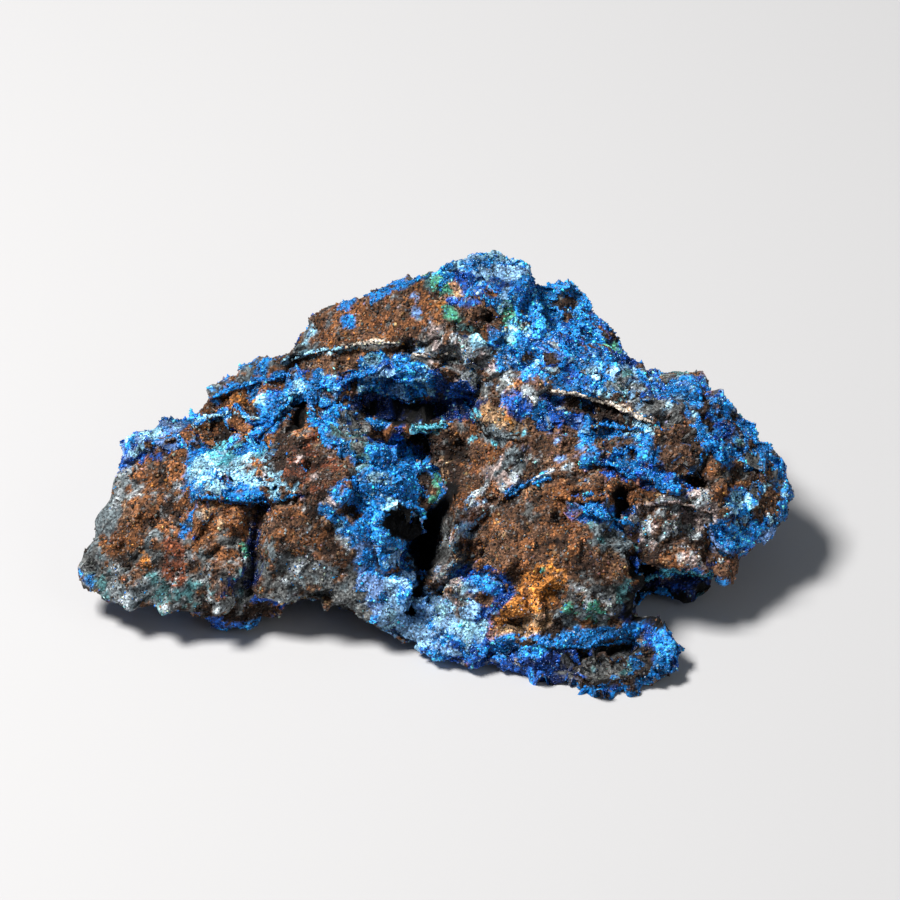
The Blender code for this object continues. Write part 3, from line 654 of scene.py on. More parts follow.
# Lamps: name, place, width, power and colour
LAMPS = (
    ("key", (-0.22, 0.0, 0.42), 0.13, 4.0, (1.0, 0.98, 0.95)),
    ("fill", (0.35, -0.25, 0.30), 0.35, 0.3, (0.9, 0.95, 1.0)),
)
LAMP_TARGET = Vector((0, 0, 0.01))


def hashed(lattice, seed):
    """One number from 0 to 1 for each row of whole numbers, always the same for the same row."""
    mixed = lattice.astype(np.uint64) * np.array((73856093, 19349663, 83492791), np.uint64)
    code = mixed[..., 0] ^ mixed[..., 1] ^ mixed[..., 2] ^ np.uint64(seed * 2654435761 % 2**32)
    for shift, factor in ((16, 0x45D9F3B), (15, 0x2C1B3C6D), (16, 0x297A2D39)):
        code = ((code ^ (code >> np.uint64(shift))) * np.uint64(factor)) & np.uint64(0xFFFFFFFF)
    return code.astype(float) / 0xFFFFFFFF


def noise(points, size, seed):
    """Smooth noise from about -1 to 1; size is the width of a lump."""
    scaled = points / size + 1000.0
    corner = np.floor(scaled).astype(np.int64)
    along = scaled - corner
    along = along * along * (3 - 2 * along)
    total = np.zeros(len(points))
    for step in itertools.product((0, 1), repeat=3):
        weight = np.prod(np.where(step, along, 1 - along), axis=1)
        total += weight * hashed(corner + np.array(step), seed)
    return 2 * total - 1


def layered_noise(points, size, seed, layers=3, keep=0.55):
    """Noise with finer and weaker noise on it."""
    total, strength, whole = 0.0, 1.0, 0.0
    for layer in range(layers):
        total = total + strength * noise(points, size / 2.03**layer, seed + layer)
        whole += strength
        strength *= keep
    return total / whole


def chips(points, size, seed):
    """The nearest of scattered sites: how far it is in units of size, where it is, and its own number."""
    scaled = points / size + 1000.0
    corner = np.floor(scaled).astype(np.int64)
    nearest = np.full(len(points), 9.0)
    site = np.zeros((len(points), 3))
    number = np.zeros(len(points))
    for step in itertools.product((-1, 0, 1), repeat=3):
        cell = corner + np.array(step)
        place = cell + np.stack([hashed(cell, seed + axis) for axis in range(3)], axis=1)
        distance = np.linalg.norm(scaled - place, axis=1)
        closer = distance < nearest
        nearest = np.where(closer, distance, nearest)
        site[closer] = place[closer]
        number[closer] = hashed(cell[closer], seed + 3)
    return nearest, (site - 1000.0) * size, number


def unit(vectors):
    """The vectors, each brought to a length of 1."""
    return vectors / np.linalg.norm(vectors, axis=1, keepdims=True)


def evened(values):
    """The same values spread evenly from 0 to 1."""
    rank = np.empty(len(values))
    rank[np.argsort(values)] = np.linspace(0, 1, len(values))
    return rank


def eased(values, low, high):
    """0 below low, 1 above high, and a soft step between."""
    part = np.clip((values - low) / (high - low), 0, 1)
    return part * part * (3 - 2 * part)


def show_face(points):
    """Across and up on the show face for points in millimetres."""
    across = points[:, 0] - SHOW_ORIGIN[0]
    up = (points[:, 1] - SHOW_ORIGIN[1]) * SIN + points[:, 2] * COS
    return np.stack((across, up), axis=1)


def from_show_face(places, depth):
    """The points in millimetres that lie at these places on the show face, that far towards the viewer."""
    upward = np.array((0.0, SIN, COS))
    points = places[:, :1] * np.array((1.0, 0, 0)) + places[:, 1:] * upward + depth[:, None] * TOWARDS_VIEWER
    return points + np.array((*SHOW_ORIGIN, 0.0))


def wander(points):
    """How far lines on the show face stray from their drawn course at each point."""
    strays = [0.20 * noise(points, 1.7, 40 + a) + 0.13 * noise(points, 0.6, 44 + a) for a in range(2)]
    return np.stack(strays, axis=1)


def path_distance(places, path):
    """How far each place on the show face is from a path of straight runs."""
    return np.abs(side_distance(places, path)[0])


def side_distance(places, path):
    """How far each place is from a path that runs from left to right, below zero under it, and how far past
    its ends."""
    nearest, past = np.full(len(places), 1e9), np.zeros(len(places))
    last = len(path) - 2
    for number, (start, end) in enumerate(zip(path, path[1:])):
        start, run = np.array(start), np.subtract(end, start)
        length = np.linalg.norm(run)
        share = (places - start) @ run / length**2
        off = places - start - np.clip(share, 0, 1)[:, None] * run
        distance = np.linalg.norm(off, axis=1)
        above = run[0] * (places[:, 1] - start[1]) - run[1] * (places[:, 0] - start[0]) >= 0
        closer = distance < np.abs(nearest)
        beyond = np.maximum(-share if number == 0 else 0, share - 1 if number == last else 0) * length
        nearest = np.where(closer, np.where(above, distance, -distance), nearest)
        past = np.where(closer, np.maximum(beyond, 0), past)
    return nearest, past


def add_object(name, data):
    """A new object in the scene."""
    made = bpy.data.objects.new(name, data)
    bpy.context.scene.collection.objects.link(made)
    return made


def fine_copy(node, name, cell, passes):
    """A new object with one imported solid's shape, cut into even small faces and eased."""
    piece = add_object(name, frame["nodes"][node].data.copy())
    even = piece.modifiers.new("Even", "REMESH")
    even.mode, even.voxel_size, even.adaptivity = "VOXEL", cell, 0.0
    ease = piece.modifiers.new("Ease", "SMOOTH")
    ease.factor, ease.iterations = 0.5, passes
    shaped = piece.evaluated_get(bpy.context.evaluated_depsgraph_get())
    mesh = bpy.data.meshes.new_from_object(shaped)
    piece.modifiers.clear()
    piece.data = mesh
    mesh.materials.clear()
    return piece


def read(items, name, width=3, kind=float):
    """One value of every item, as rows of that many numbers."""
    flat = np.empty(len(items) * width, kind)
    items.foreach_get(name, flat)
    return flat.reshape(-1, width)


def points_of(mesh):
    """The mesh's points in millimetres."""
    return read(mesh.vertices, "co") / MM


def normals_of(mesh):
    return read(mesh.vertices, "normal")


def triangles_of(mesh):
    mesh.calc_loop_triangles()
    return read(mesh.loop_triangles, "vertices", 3, np.int32)


def set_points(mesh, points):
    """Moves the mesh's points, given in millimetres, and keeps them off the table."""
    placed = points.copy()
    placed[:, 2] = np.maximum(placed[:, 2], 0.0)
    mesh.vertices.foreach_set("co", (placed * MM).ravel())
    mesh.update()


def relaxed(mesh, points, share):
    """The points, each moved that share of the way to the middle of its neighbours."""
    edges = read(mesh.edges, "vertices", 2, np.int32)
    first, second = edges.T
    count = np.bincount(edges.ravel(), minlength=len(points))[:, None]
    total = np.stack([np.bincount(first, points[second, a], len(points))
                      + np.bincount(second, points[first, a], len(points)) for a in range(3)], axis=1)
    return points + share * (total / np.maximum(count, 1) - points)


def blocker():
    """Everything solid, for finding what the show face hides."""
    points, faces = [], []
    for node in frame["nodes"].values():
        offset = len(points)
        points.extend(v.co[:] for v in node.data.vertices)
        node.data.calc_loop_triangles()
        faces.extend(tuple(offset + i for i in t.vertices) for t in node.data.loop_triangles)
    return BVHTree.FromPolygons(points, faces)


def seen_share(points, normals, tree):
    """1 where a point shows on the show face and 0 where something hides it or it faces away. What lies
    close behind a carved place counts as seen."""
    facing = normals @ TOWARDS_VIEWER
    share = eased(facing, -0.06, 0.12)
    behind = share * eased(carving(points), 0.25, 0.6)
    towards = Vector(TOWARDS_VIEWER)
    starts = (points + 1.2 * TOWARDS_VIEWER + 0.5 * normals) * MM
    for index in np.nonzero(share > 0)[0]:
        distance = tree.ray_cast(Vector(starts[index]), towards)[3]
        if distance is not None:
            share[index] = behind[index] if distance < 3 * MM else 0.0
    return share


def colour_of(kind):
    return np.array(getattr(bpy.context.scene.specimen_colours, kind))


def pushed(points):
    """The points with the small pushes that round off the outline of the show face."""
    places = show_face(points)
    moved = points.copy()
    for reach, across, up, (middle,) in PUSHES:
        share = np.exp(-np.sum((places - np.array(middle))**2, axis=1) / reach**2)
        moved += share[:, None] * np.array((across, up * SIN, up * COS))
    return moved


def worn(points):
    """How smooth the show face is worn at each point, from 0 to 1."""
    places = show_face(points)
    share = np.zeros(len(points))
    for amount, reach, path in CALM:
        share = np.maximum(share, amount * eased(1 - path_distance(places, path) / reach, 0.0, 0.5))
    return share


def write_tint(mesh, tint):
    """Keeps a colour for every point as the mesh's own attribute. On the rock, the crusts and the crystals
    sown from them, this colour also holds painted shade and painted highlights.
    """
    layer = mesh.color_attributes.new("tint", "FLOAT_COLOR", "POINT")
    layer.data.foreach_set("color", np.column_stack((tint, np.ones(len(tint)))).ravel())


class Cover:
    """What shows at each point of a surface: its tint and the crystals that grow there."""

    def __init__(self, points, kind):
        count = len(points)
        self.points = points
        self.tint = np.tile(colour_of(kind), (count, 1))
        self.cover, self.width, self.lump = (np.full(count, v) for v in PALETTE[kind][1:4])
        self.family = np.full(count, float(FAMILIES[FAMILY_OF.get(kind, "azurite")]))
        # dark: how much painted shade of deep cracks lies at each point
        self.dark = np.zeros(count)
        self.grains = [
            evened(0.6 * noise(points, 1.25, 70 + 5 * i) + 0.5 * noise(points, 0.52, 71 + 5 * i)
                   + 0.25 * noise(points, 0.3, 72 + 5 * i))
            for i in range(6)
        ]

    def lay(self, kind, share):
        """Puts a kind on top, with a share from 0 to 1 at each point."""
        keep = 1 - share
        self.tint = self.tint * keep[:, None] + colour_of(kind) * share[:, None]
        self.cover = self.cover * keep + PALETTE[kind][1] * share
        self.width = self.width * keep + PALETTE[kind][2] * share
        self.lump = self.lump * keep + PALETTE[kind][3] * share
        self.family = np.where(share > 0.5, FAMILIES[FAMILY_OF.get(kind, "azurite")], self.family)
        # the black kind is painted shade, and its share is kept as the mask of painted crack shade
        if kind == "black":
            self.dark = np.maximum(self.dark, share)

    def lay_patches(self, layers, share, seed):
        """Puts kinds on in patches, where share allows."""
        for number, (kind, part, size) in enumerate(layers):
            field = evened(layered_noise(self.points, size, seed + 7 * number, 4, 0.65))
            self.lay(kind, share * eased(part - field, -0.02, 0.03))

    def lay_zones(self, share):
        """Puts on what is written down for the show face."""
        places = show_face(self.points) + wander(self.points)
        ragged = 0.22 * noise(self.points, 0.8, 50) + 0.16 * noise(self.points, 0.36, 51)
        for number, (kind, fill, reach, path) in enumerate(ZONES):
            low, high = np.min(path, axis=0) - 1.5 * reach, np.max(path, axis=0) + 1.5 * reach
            near = np.nonzero(np.all((places > low) & (places < high), axis=1) & (share > 0))[0]
            if not len(near):
                continue
            inside = 1 - path_distance(places[near], path) / reach + ragged[near]
            part = np.zeros(len(places))
            grain = self.grains[number % len(self.grains)][near]
            patch = 1.0
            if fill < SOLID_FILL:
                patch = eased(fill * np.clip(1.35 * inside + 0.45, 0, 1) - grain, -0.04, 0.05)
            part[near] = share[near] * eased(inside, 0.0, 0.14) * patch
            self.lay(kind, part)

    def shade(self, height):
        """Paints shade into the tint in hollows and painted highlights on crests: the lower a point lies the
        darker its tint, and crests that crystals cover are lightened and given a painted glow.
        """
        rank = evened(height)
        painted_crest_highlight = (eased(rank, 0.70, 1.0) * self.cover)[:, None]
        painted_crest_glow = painted_crest_highlight * self.tint.max(axis=1, keepdims=True) * np.array((0.08, 0.18, 0.22))
        # painted shade by height, and painted highlight with glow on covered crests
        self.tint = self.tint * (0.40 + 1.05 * rank)[:, None] * (1 + 0.5 * painted_crest_highlight) + painted_crest_glow

    def write(self, mesh):
        """Keeps the cover as the mesh's own attributes."""
        write_tint(mesh, self.tint)
        for name in ("cover", "width", "family", "dark"):
            layer = mesh.attributes.new(name, "FLOAT", "POINT")
            layer.data.foreach_set("value", getattr(self, name))


def carving(points):
    """How far the show face is cut back at each point, in millimetres; below zero where it stands out."""
    places = show_face(points) + wander(points)
    depth = np.zeros(len(points))
    for reach, deep, path in CRACKS:
        depth += deep * eased(1 - path_distance(places, path) / reach, -0.25, 0.7)
    for rise, _, _, _, path in LEDGES:
        distance, past = side_distance(places, path)
        step = np.where(distance > 0, -0.55 * np.exp(-distance / 1.3), 0.45 * np.exp(distance / 0.8))
        depth += rise * step * (1 - eased(past, 0.0, 0.7))
    return depth


def broken(points, seed):
    """How far broken rock stands out at each point: facets, chips and crumb, in millimetres."""
    height = 0.45 * layered_noise(points, 4.2, seed, 2)
    for size, slope, strength in ((2.3, 0.55, 0.5), (1.15, 0.6, 0.34), (0.6, 0.6, 0.22)):
        bent = points + 0.3 * size * noise(points, size, seed + 9)[:, None]
        _, site, number = chips(bent, size, seed)
        lean = np.stack([np.sin(number * 40.0 + 2.1 * a) for a in range(3)], axis=1)
        height += strength * (slope * np.sum((points - site) * lean, axis=1) + 0.35 * size * (number - 0.5))
        seed += 11
    return height + 0.10 * noise(points, 0.36, seed) + 0.06 * noise(points, 0.22, seed + 1)


def crumpled(points, seed):
    """Creased and knobbly growth of crystals, from about -1 to 1."""
    wide, close = (1 - 2.2 * np.abs(noise(points, size, seed + i)) for i, size in enumerate((1.9, 0.85)))
    folds = wide + 0.7 * close
    return 0.42 * folds + 0.30 * noise(points, 0.42, seed + 2) + 0.2 * noise(points, 0.24, seed + 3)


class Wire:
    """A shader socket that takes part in plain maths."""

    def __init__(self, tree, socket=None):
        self.tree, self.socket = tree, socket

    def node(self, kind, settings=None, values=None, output=0):
        """Adds a node, sets it up, fills its sockets, and gives back one of its outputs."""
        made = self.tree.nodes.new("ShaderNode" + kind)
        for name, setting in (settings or {}).items():
            if name == "stops":
                for _ in setting[2:]:
                    made.color_ramp.elements.new(0.5)
                for element, (place, shade) in zip(made.color_ramp.elements, setting):
                    element.position, element.color = place, (*shade, 1)
            else:
                setattr(made, name, setting)
        for name, value in (values or {}).items():
            if isinstance(value, Wire):
                self.tree.links.new(value.socket, made.inputs[name])
            else:
                made.inputs[name].default_value = value
        return Wire(self.tree, made.outputs[output] if made.outputs else None)

    def maths(self, operation, first, second):
        return self.node("Math", {"operation": operation}, {0: first, 1: second})

    def __add__(self, other):
        return self.maths("ADD", self, other)

    __radd__ = __add__

    def __sub__(self, other):
        return self.maths("SUBTRACT", self, other)

    def __rsub__(self, other):
        return self.maths("SUBTRACT", other, self)

    def __mul__(self, other):
        return self.maths("MULTIPLY", self, other)

    __rmul__ = __mul__

    def tinted(self, blend, factor, colour):
        """This colour blended with another one."""
        return self.node("Mix", {"data_type": "RGBA", "blend_type": blend},
                         {0: factor, 6: self, 7: colour}, output=2)

    def step(self, low, high):
        """0 below low, 1 above high."""
        return self.node("MapRange", {"interpolation_type": "SMOOTHSTEP"},
                         {"Value": self, "From Min": low, "From Max": high})


def grain_noise(wire, place, size, detail, roughness=0.6):
    values = {"Vector": place, "Scale": 1 / size, "Detail": detail, "Roughness": roughness}
    return wire.node("TexNoise", {}, values)


def attribute(wire, name, output):
    return wire.node("Attribute", {"attribute_name": name}, {}, output)


def new_material(name):
    """A material with nothing but its output, and a wire to build on."""
    material = bpy.data.materials.new(name)
    material.use_nodes = True
    material.node_tree.nodes.clear()
    return material, Wire(material.node_tree)


def surface(wire, sockets):
    """Ends a material in one Principled shader."""
    shader = wire.node("BsdfPrincipled", {}, sockets)
    wire.node("OutputMaterial", {}, {"Surface": shader})


def mineral_material(name, roughness, gloss_roughness, bump, grit):
    """Rock or crust: its own tint in grains of uneven brightness, the brightest of them painted glints, with
    pale flecks that are partly pale grains and partly painted glints, dark specks of painted shade in pores,
    painted shade in deep cracks, and crumb; glossier where crystals cover it."""
    material, wire = new_material(name)
    place = wire.node("TexCoord", {}, {}, "Object")
    tint = attribute(wire, "tint", "Color")
    cover = attribute(wire, "cover", "Fac")
    dark = attribute(wire, "dark", "Fac")
    mottle = grain_noise(wire, place, 1.1 * MM, 4)
    grains = wire.node("TexVoronoi", {}, {"Vector": place, "Scale": 1 / grit}, "Color")
    number = wire.node("SeparateColor", {}, {"Color": grains})
    other = wire.node("SeparateColor", {}, {"Color": grains}, "Green")
    crumb = grain_noise(wire, place, 0.2 * MM, 4, 0.75)
    light = 0.30 * mottle + 0.40 * number + 0.30 * crumb
    # the top stop paints the brightest grains as glints; the lower stops are the grains' uneven tone
    stops = ((0.24, (0.16, 0.15, 0.16)), (0.45, (0.75, 0.74, 0.74)),
             (0.60, (1.25, 1.25, 1.25)), (0.76, (2.6, 2.55, 2.5)))
    shade = wire.node("ValToRGB", {"stops": stops}, {0: light})
    colour = tint.tinted("MULTIPLY", 1.0, shade)
    # pale flecks: partly pale grains and partly painted glints
    colour = colour.tinted("MIX", 0.35 * other.step(0.93, 0.97), (0.36, 0.36, 0.36, 1))
    # dark specks: painted shade of tiny pores
    colour = colour.tinted("MIX", 0.75 * other.step(0.16, 0.10), (0.010, 0.009, 0.010, 1))
    # painted shade of deep cracks and hollows, where the black kind lies
    colour = colour.tinted("MIX", 0.9 * dark, (0.003, 0.003, 0.003, 1))
    rough = roughness - (roughness - gloss_roughness) * cover + 0.25 * (number - 0.5)
    relief = 0.6 * number + crumb
    normal = wire.node("Bump", {}, {"Strength": 0.8, "Distance": bump, "Height": relief})
    surface(wire, {"Base Color": colour, "Roughness": rough, "Normal": normal, "Specular IOR Level": 0.2})
    return material


def crystal_material(name, roughness, index):
    """Small glassy crystals, each with its own tint."""
    material, wire = new_material(name)
    place = wire.node("TexCoord", {}, {}, "Object")
    tint = attribute(wire, "tint", "Color")
    cloud = grain_noise(wire, place, 0.18 * MM, 2)
    shade = wire.node("ValToRGB", {"stops": ((0.3, (0.6, 0.6, 0.62)), (0.7, (1.35, 1.35, 1.3)))}, {0: cloud})
    rough = roughness + 0.3 * (cloud - 0.5)
    surface(wire, {"Base Color": tint.tinted("MULTIPLY", 1.0, shade), "Roughness": rough, "IOR": index})
    return material


def seat(piece, slot, *nodes):
    """Fixes a finished piece to the specimen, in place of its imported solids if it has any."""
    if nodes:
        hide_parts(*nodes)
    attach(piece, "root")


def undressed(node, name, cell, passes, kind, blockers):
    """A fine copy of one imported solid, with its points, its normals, how much of each point shows on the
    show face, and a cover of one kind."""
    piece = fine_copy(node, name, cell, passes)
    points, normals = pushed(points_of(piece.data)), normals_of(piece.data)
    return piece, points, normals, seen_share(points, normals, blockers), Cover(points, kind)


def dressed(piece, points, ease, cover, material, slot, node):
    """Gives a fine copy its new shape, cover and material, and fixes it to the specimen."""
    mesh = piece.data
    set_points(mesh, relaxed(mesh, points, ease))
    cover.write(mesh)
    mesh.polygons.foreach_set("use_smooth", np.zeros(len(mesh.polygons), bool))
    mesh.update()
    mesh.materials.append(material)
    seat(piece, slot, node)


def build_rock(sizes):
    piece, points, normals, seen, cover = undressed(
        "limonite_matrix", "limonite_rock", sizes.rock_cell, 4, "brown", blocker())
    cover.lay_patches(GROUND, np.ones(len(points)), 200)
    cover.lay_patches(FAR_SIDE, 1 - seen, 300)
    cover.lay_zones(seen)
    soft = relaxed(piece.data, np.repeat(seen[:, None], 3, axis=1), 0.8)[:, 0]
    calm = 1 - worn(points)
    crumb = broken(points, 11) * (1 - 0.5 * eased(cover.lump, 0.05, 0.2)) * calm
    heads = 1.1 * cover.lump * crumpled(points, 31) * calm
    # painted shade in the rock's hollows and painted highlights on its crests
    cover.shade(crumb + heads)
    foot = eased(points[:, 2], 0.1, 1.2)
    grown, cut = (crumb + heads) * foot, carving(points) * soft
    moved = points + normals * grown[:, None] - cut[:, None] * TOWARDS_VIEWER
    material = mineral_material("Crumbly limonite", 0.9, 0.5, 0.09 * MM, 0.17 * MM)
    dressed(piece, moved, 0.35, cover, material, "limonite", "limonite_matrix")


def build_crust(node, sizes, rock_tree, blockers, material, seed):
    """One azurite crust: sunk on to the rock, with rounded heads and a ragged edge."""
    piece, points, normals, seen, cover = undressed(
        node, node + "_crust", sizes.crust_cell, 3, "azure", blockers)
    cover.lay_patches(MIXED_CRUST if node in MIXED_CRUSTS else CRUST_GROUND, np.ones(len(points)), 400)
    cover.lay_zones(seen)
    heads = 0.34 * crumpled(points, seed) * (1 - worn(points))
    # painted shade in the crust's hollows and painted highlights on its crests
    cover.shade(heads)
    moved = points + normals * heads[:, None] - carving(points)[:, None] * TOWARDS_VIEWER
    height = np.empty(len(points))
    outward = np.empty((len(points), 3))
    for index, point in enumerate(moved * MM):
        spot, normal, _, _ = rock_tree.find_nearest(Vector(point))
        outward[index] = normal
        height[index] = (Vector(point) - spot).dot(normal) / MM
    sink = 0.62 + 0.55 * noise(points, 1.9, seed + 4)
    moved = moved - outward * np.minimum(sink, np.maximum(height, 0.25) + 0.4)[:, None]
    dressed(piece, moved, 0.3, cover, material, "azurite", node)


LIP_STEP = 0.14  # length of one step along a lip, in millimetres
# Section of a lip: up in thicknesses, and out; above zero in stands of the lip, below zero in millimetres
LIP_SECTION = np.array(((-0.5, -0.9), (-0.55, 0.45), (-0.3, 0.9), (0.2, 1.0), (0.5, 0.6), (0.55, -0.9)))


def surface_depth(places, trees):
    """How far towards the viewer the surface is at each place of the show face, in millimetres."""
    starts = from_show_face(places, np.full(len(places), OUTSIDE)) * MM
    away = Vector(-TOWARDS_VIEWER)
    depth = np.full(len(places), np.nan)
    for index, start in enumerate(starts):
        hits = [tree.ray_cast(Vector(start), away)[3] for tree in trees]
        reach = [distance for distance in hits if distance is not None]
        if reach:
            depth[index] = OUTSIDE - min(reach) / MM
    return depth


def lip_runs(path, trees):
    """The stretches of a ledge's line where the surface under it runs on without a jump: for each, its
    places on the show face and how far towards the viewer they lie."""
    path = np.array(path)
    lengths = np.concatenate(((0,), np.cumsum(np.linalg.norm(np.diff(path, axis=0), axis=1))))
    steps = np.linspace(0, lengths[-1], max(8, round(lengths[-1] / LIP_STEP)))
    places = np.stack([np.interp(steps, lengths, path[:, a]) for a in range(2)], axis=1)
    places = places - wander(from_show_face(places, np.nan_to_num(surface_depth(places, trees))))
    depth = surface_depth(places, trees)
    known = ~np.isnan(depth)
    depth = np.interp(steps, steps[known], depth[known])
    windows = np.lib.stride_tricks.sliding_window_view(np.pad(depth, 6, mode="edge"), 13)
    depth = np.median(windows, axis=1)
    ends = np.nonzero((np.abs(np.diff(depth)) > 0.45) | ~(known[1:] & known[:-1]))[0] + 1
    for run in np.split(np.arange(len(steps)), ends):
        if len(run) >= 8:
            yield places[run], np.convolve(np.pad(depth[run], 3, mode="edge"), np.ones(7) / 7, "valid")


def build_lips(trees, material):
    """The broken edges of thin plates, which stand out along the ledges of the show face."""
    dice = np.random.default_rng(91)
    points, faces, kinds = [], [], []
    offset = 0
    for rise, top, under, thick, path in LEDGES:
        for places, depth in lip_runs(path, trees):
            rows = len(places)
            along = unit(np.gradient(places, axis=0))
            upward = np.stack((-along[:, 1], along[:, 0]), axis=1)
            from_end = np.minimum(np.arange(rows), np.arange(rows)[::-1]) * LIP_STEP
            taper = np.sqrt(np.clip(from_end / 0.8, 0, 1))
            rough = [np.convolve(dice.normal(size=rows + 2), np.ones(3) / 3, "valid") for _ in range(2)]
            stand = 0.45 * rise * (1 + 0.55 * rough[0]) * taper
            width = thick * (1 + 0.35 * rough[1]) * (0.3 + 0.7 * taper)
            for across, out in LIP_SECTION:
                spread = places + upward * (across * width + 0.05 * dice.normal(size=rows))[:, None]
                reach = depth + np.where(out > 0, out * stand, out) + 0.05 * dice.normal(size=rows)
                placed = from_show_face(spread, reach)
                placed[:, 2] = np.maximum(placed[:, 2], TABLE_GAP)
                points.append(placed)
                # the points under the lip take the kind below, which for umber, navy and black is painted
                # shade
                kinds.append((top if across > -0.5 else under, rows))
            index = offset + np.arange(len(LIP_SECTION))[:, None] * rows + np.arange(rows)[None, :]
            after = np.roll(index, -1, axis=0)
            quads = np.stack((index[:, :-1], index[:, 1:], after[:, 1:], after[:, :-1]), axis=-1)
            quads = quads.reshape(-1, 4)
            faces.extend((quads[:, (0, 1, 2)], quads[:, (0, 2, 3)]))
            for end, order in ((0, 1), (rows - 1, -1)):
                ring = index[:, end][::order]
                faces.append(np.stack((np.full(4, ring[0]), ring[1:-1], ring[2:]), axis=1))
            offset += len(LIP_SECTION) * rows
    mesh = mesh_from("thin_plates", np.concatenate(points), np.concatenate(faces))
    cover = Cover(np.concatenate(points), "brown")
    start = 0
    for kind, count in kinds:
        part = np.zeros(offset)
        part[start:start + count] = 1.0
        cover.lay(kind, part)
        start += count
    cover.write(mesh)
    mesh.materials.append(material)
    seat(add_object("thin_plates", mesh), "limonite")


def mesh_from(name, points, faces):
    """A mesh from arrays of points in millimetres and of faces that all have the same number of corners."""
    mesh = bpy.data.meshes.new(name)
    corners = faces.shape[1]
    mesh.vertices.add(len(points))
    mesh.vertices.foreach_set("co", (points * MM).ravel())
    mesh.loops.add(faces.size)
    mesh.loops.foreach_set("vertex_index", faces.ravel().astype(np.int32))
    mesh.polygons.add(len(faces))
    mesh.polygons.foreach_set("loop_start", np.arange(0, faces.size, corners, dtype=np.int32))
    mesh.update(calc_edges=True)
    return mesh


# One crystal: a skewed eight-faced blade. Its points are in half widths, half thicknesses and half lengths.
BLADE_POINTS = np.array((
    (1, 0.1, -0.1), (0.15, 1, 0.1), (-1, -0.1, 0.2), (-0.1, -1, -0.1), (0.3, 0.1, 1), (-0.2, 0, -1)))
BLADE_FACES = np.array((
    (0, 1, 4), (1, 2, 4), (2, 3, 4), (3, 0, 4), (1, 0, 5), (2, 1, 5), (3, 2, 5), (0, 3, 5)))


def grid_map(mesh, crystals, faces_each):
    """A texture map that gives every face of every crystal its own small cell."""
    layer = mesh.uv_layers.new(name="OFBake")
    across = math.ceil(math.sqrt(crystals))
    inside = math.ceil(math.sqrt(faces_each))
    whole = np.arange(crystals * faces_each)
    crystal, face = whole // faces_each, whole % faces_each
    left = (crystal % across + (face % inside + 0.15) / inside) / across
    low = (crystal // across + (face // inside + 0.15) / inside) / across
    side = 0.7 / (inside * across)
    corner = np.array(((0, 0), (1, 0), (0, 1))) * side
    flat = np.stack((left, low), axis=1)[:, None, :] + corner[None, :, :]
    layer.data.foreach_set("uv", flat.ravel())


def sown(surfaces, family, side, sizes, seed):
    """Where crystals of one family grow on one side of the specimen: place, outward direction, width and
    tint of each, in millimetres."""
    far = side == "back"
    dice = np.random.default_rng(seed)
    spots = []
    for mesh in surfaces:
        points, normals, faces = points_of(mesh), normals_of(mesh), triangles_of(mesh)
        names = ("cover", "width", "family", "dark")
        cover, wide, kin, dark = (read(mesh.attributes[name].data, "value", 1)[:, 0] for name in names)
        # the ground's tint, with its painted shade and highlights
        tint = read(mesh.color_attributes["tint"].data, "color", 4)[:, :3]
        a, b, c = (points[faces[:, i]] for i in range(3))
        area = np.linalg.norm(np.cross(b - a, c - a), axis=1) / 2
        first = faces[:, 0]
        facing = normals[first] @ TOWARDS_VIEWER
        # no crystals grow where the shade of deep cracks is painted
        wanted = (kin[first] == family) & (dark[first] < 0.5)
        wanted &= ((facing < 0.05) == far) & (points[first, 2] > 0.5)
        if side in ("left", "right"):
            wanted &= (points[first, 0] < 0) == (side == "left")
        width = wide[first] * sizes.crystal_scale
        if family == FAMILIES["limonite"]:
            spread = sizes.crumb_spread * (0.3 if far else 1.0)
        else:
            spread = sizes.crystal_spread * (0.35 if far else 1.0) * cover[first]**2
        expected = np.where(wanted, area * spread / width**2, 0)
        chosen = np.repeat(np.arange(len(faces)), dice.poisson(expected))
        share = dice.dirichlet((1, 1, 1), len(chosen))
        place = sum(share[:, i, None] * points[faces[chosen, i]] for i in range(3))
        outward = sum(share[:, i, None] * normals[faces[chosen, i]] for i in range(3))
        spots.append((place, outward, width[chosen], tint[faces[chosen, 0]]))
    return [np.concatenate(parts) for parts in zip(*spots)]


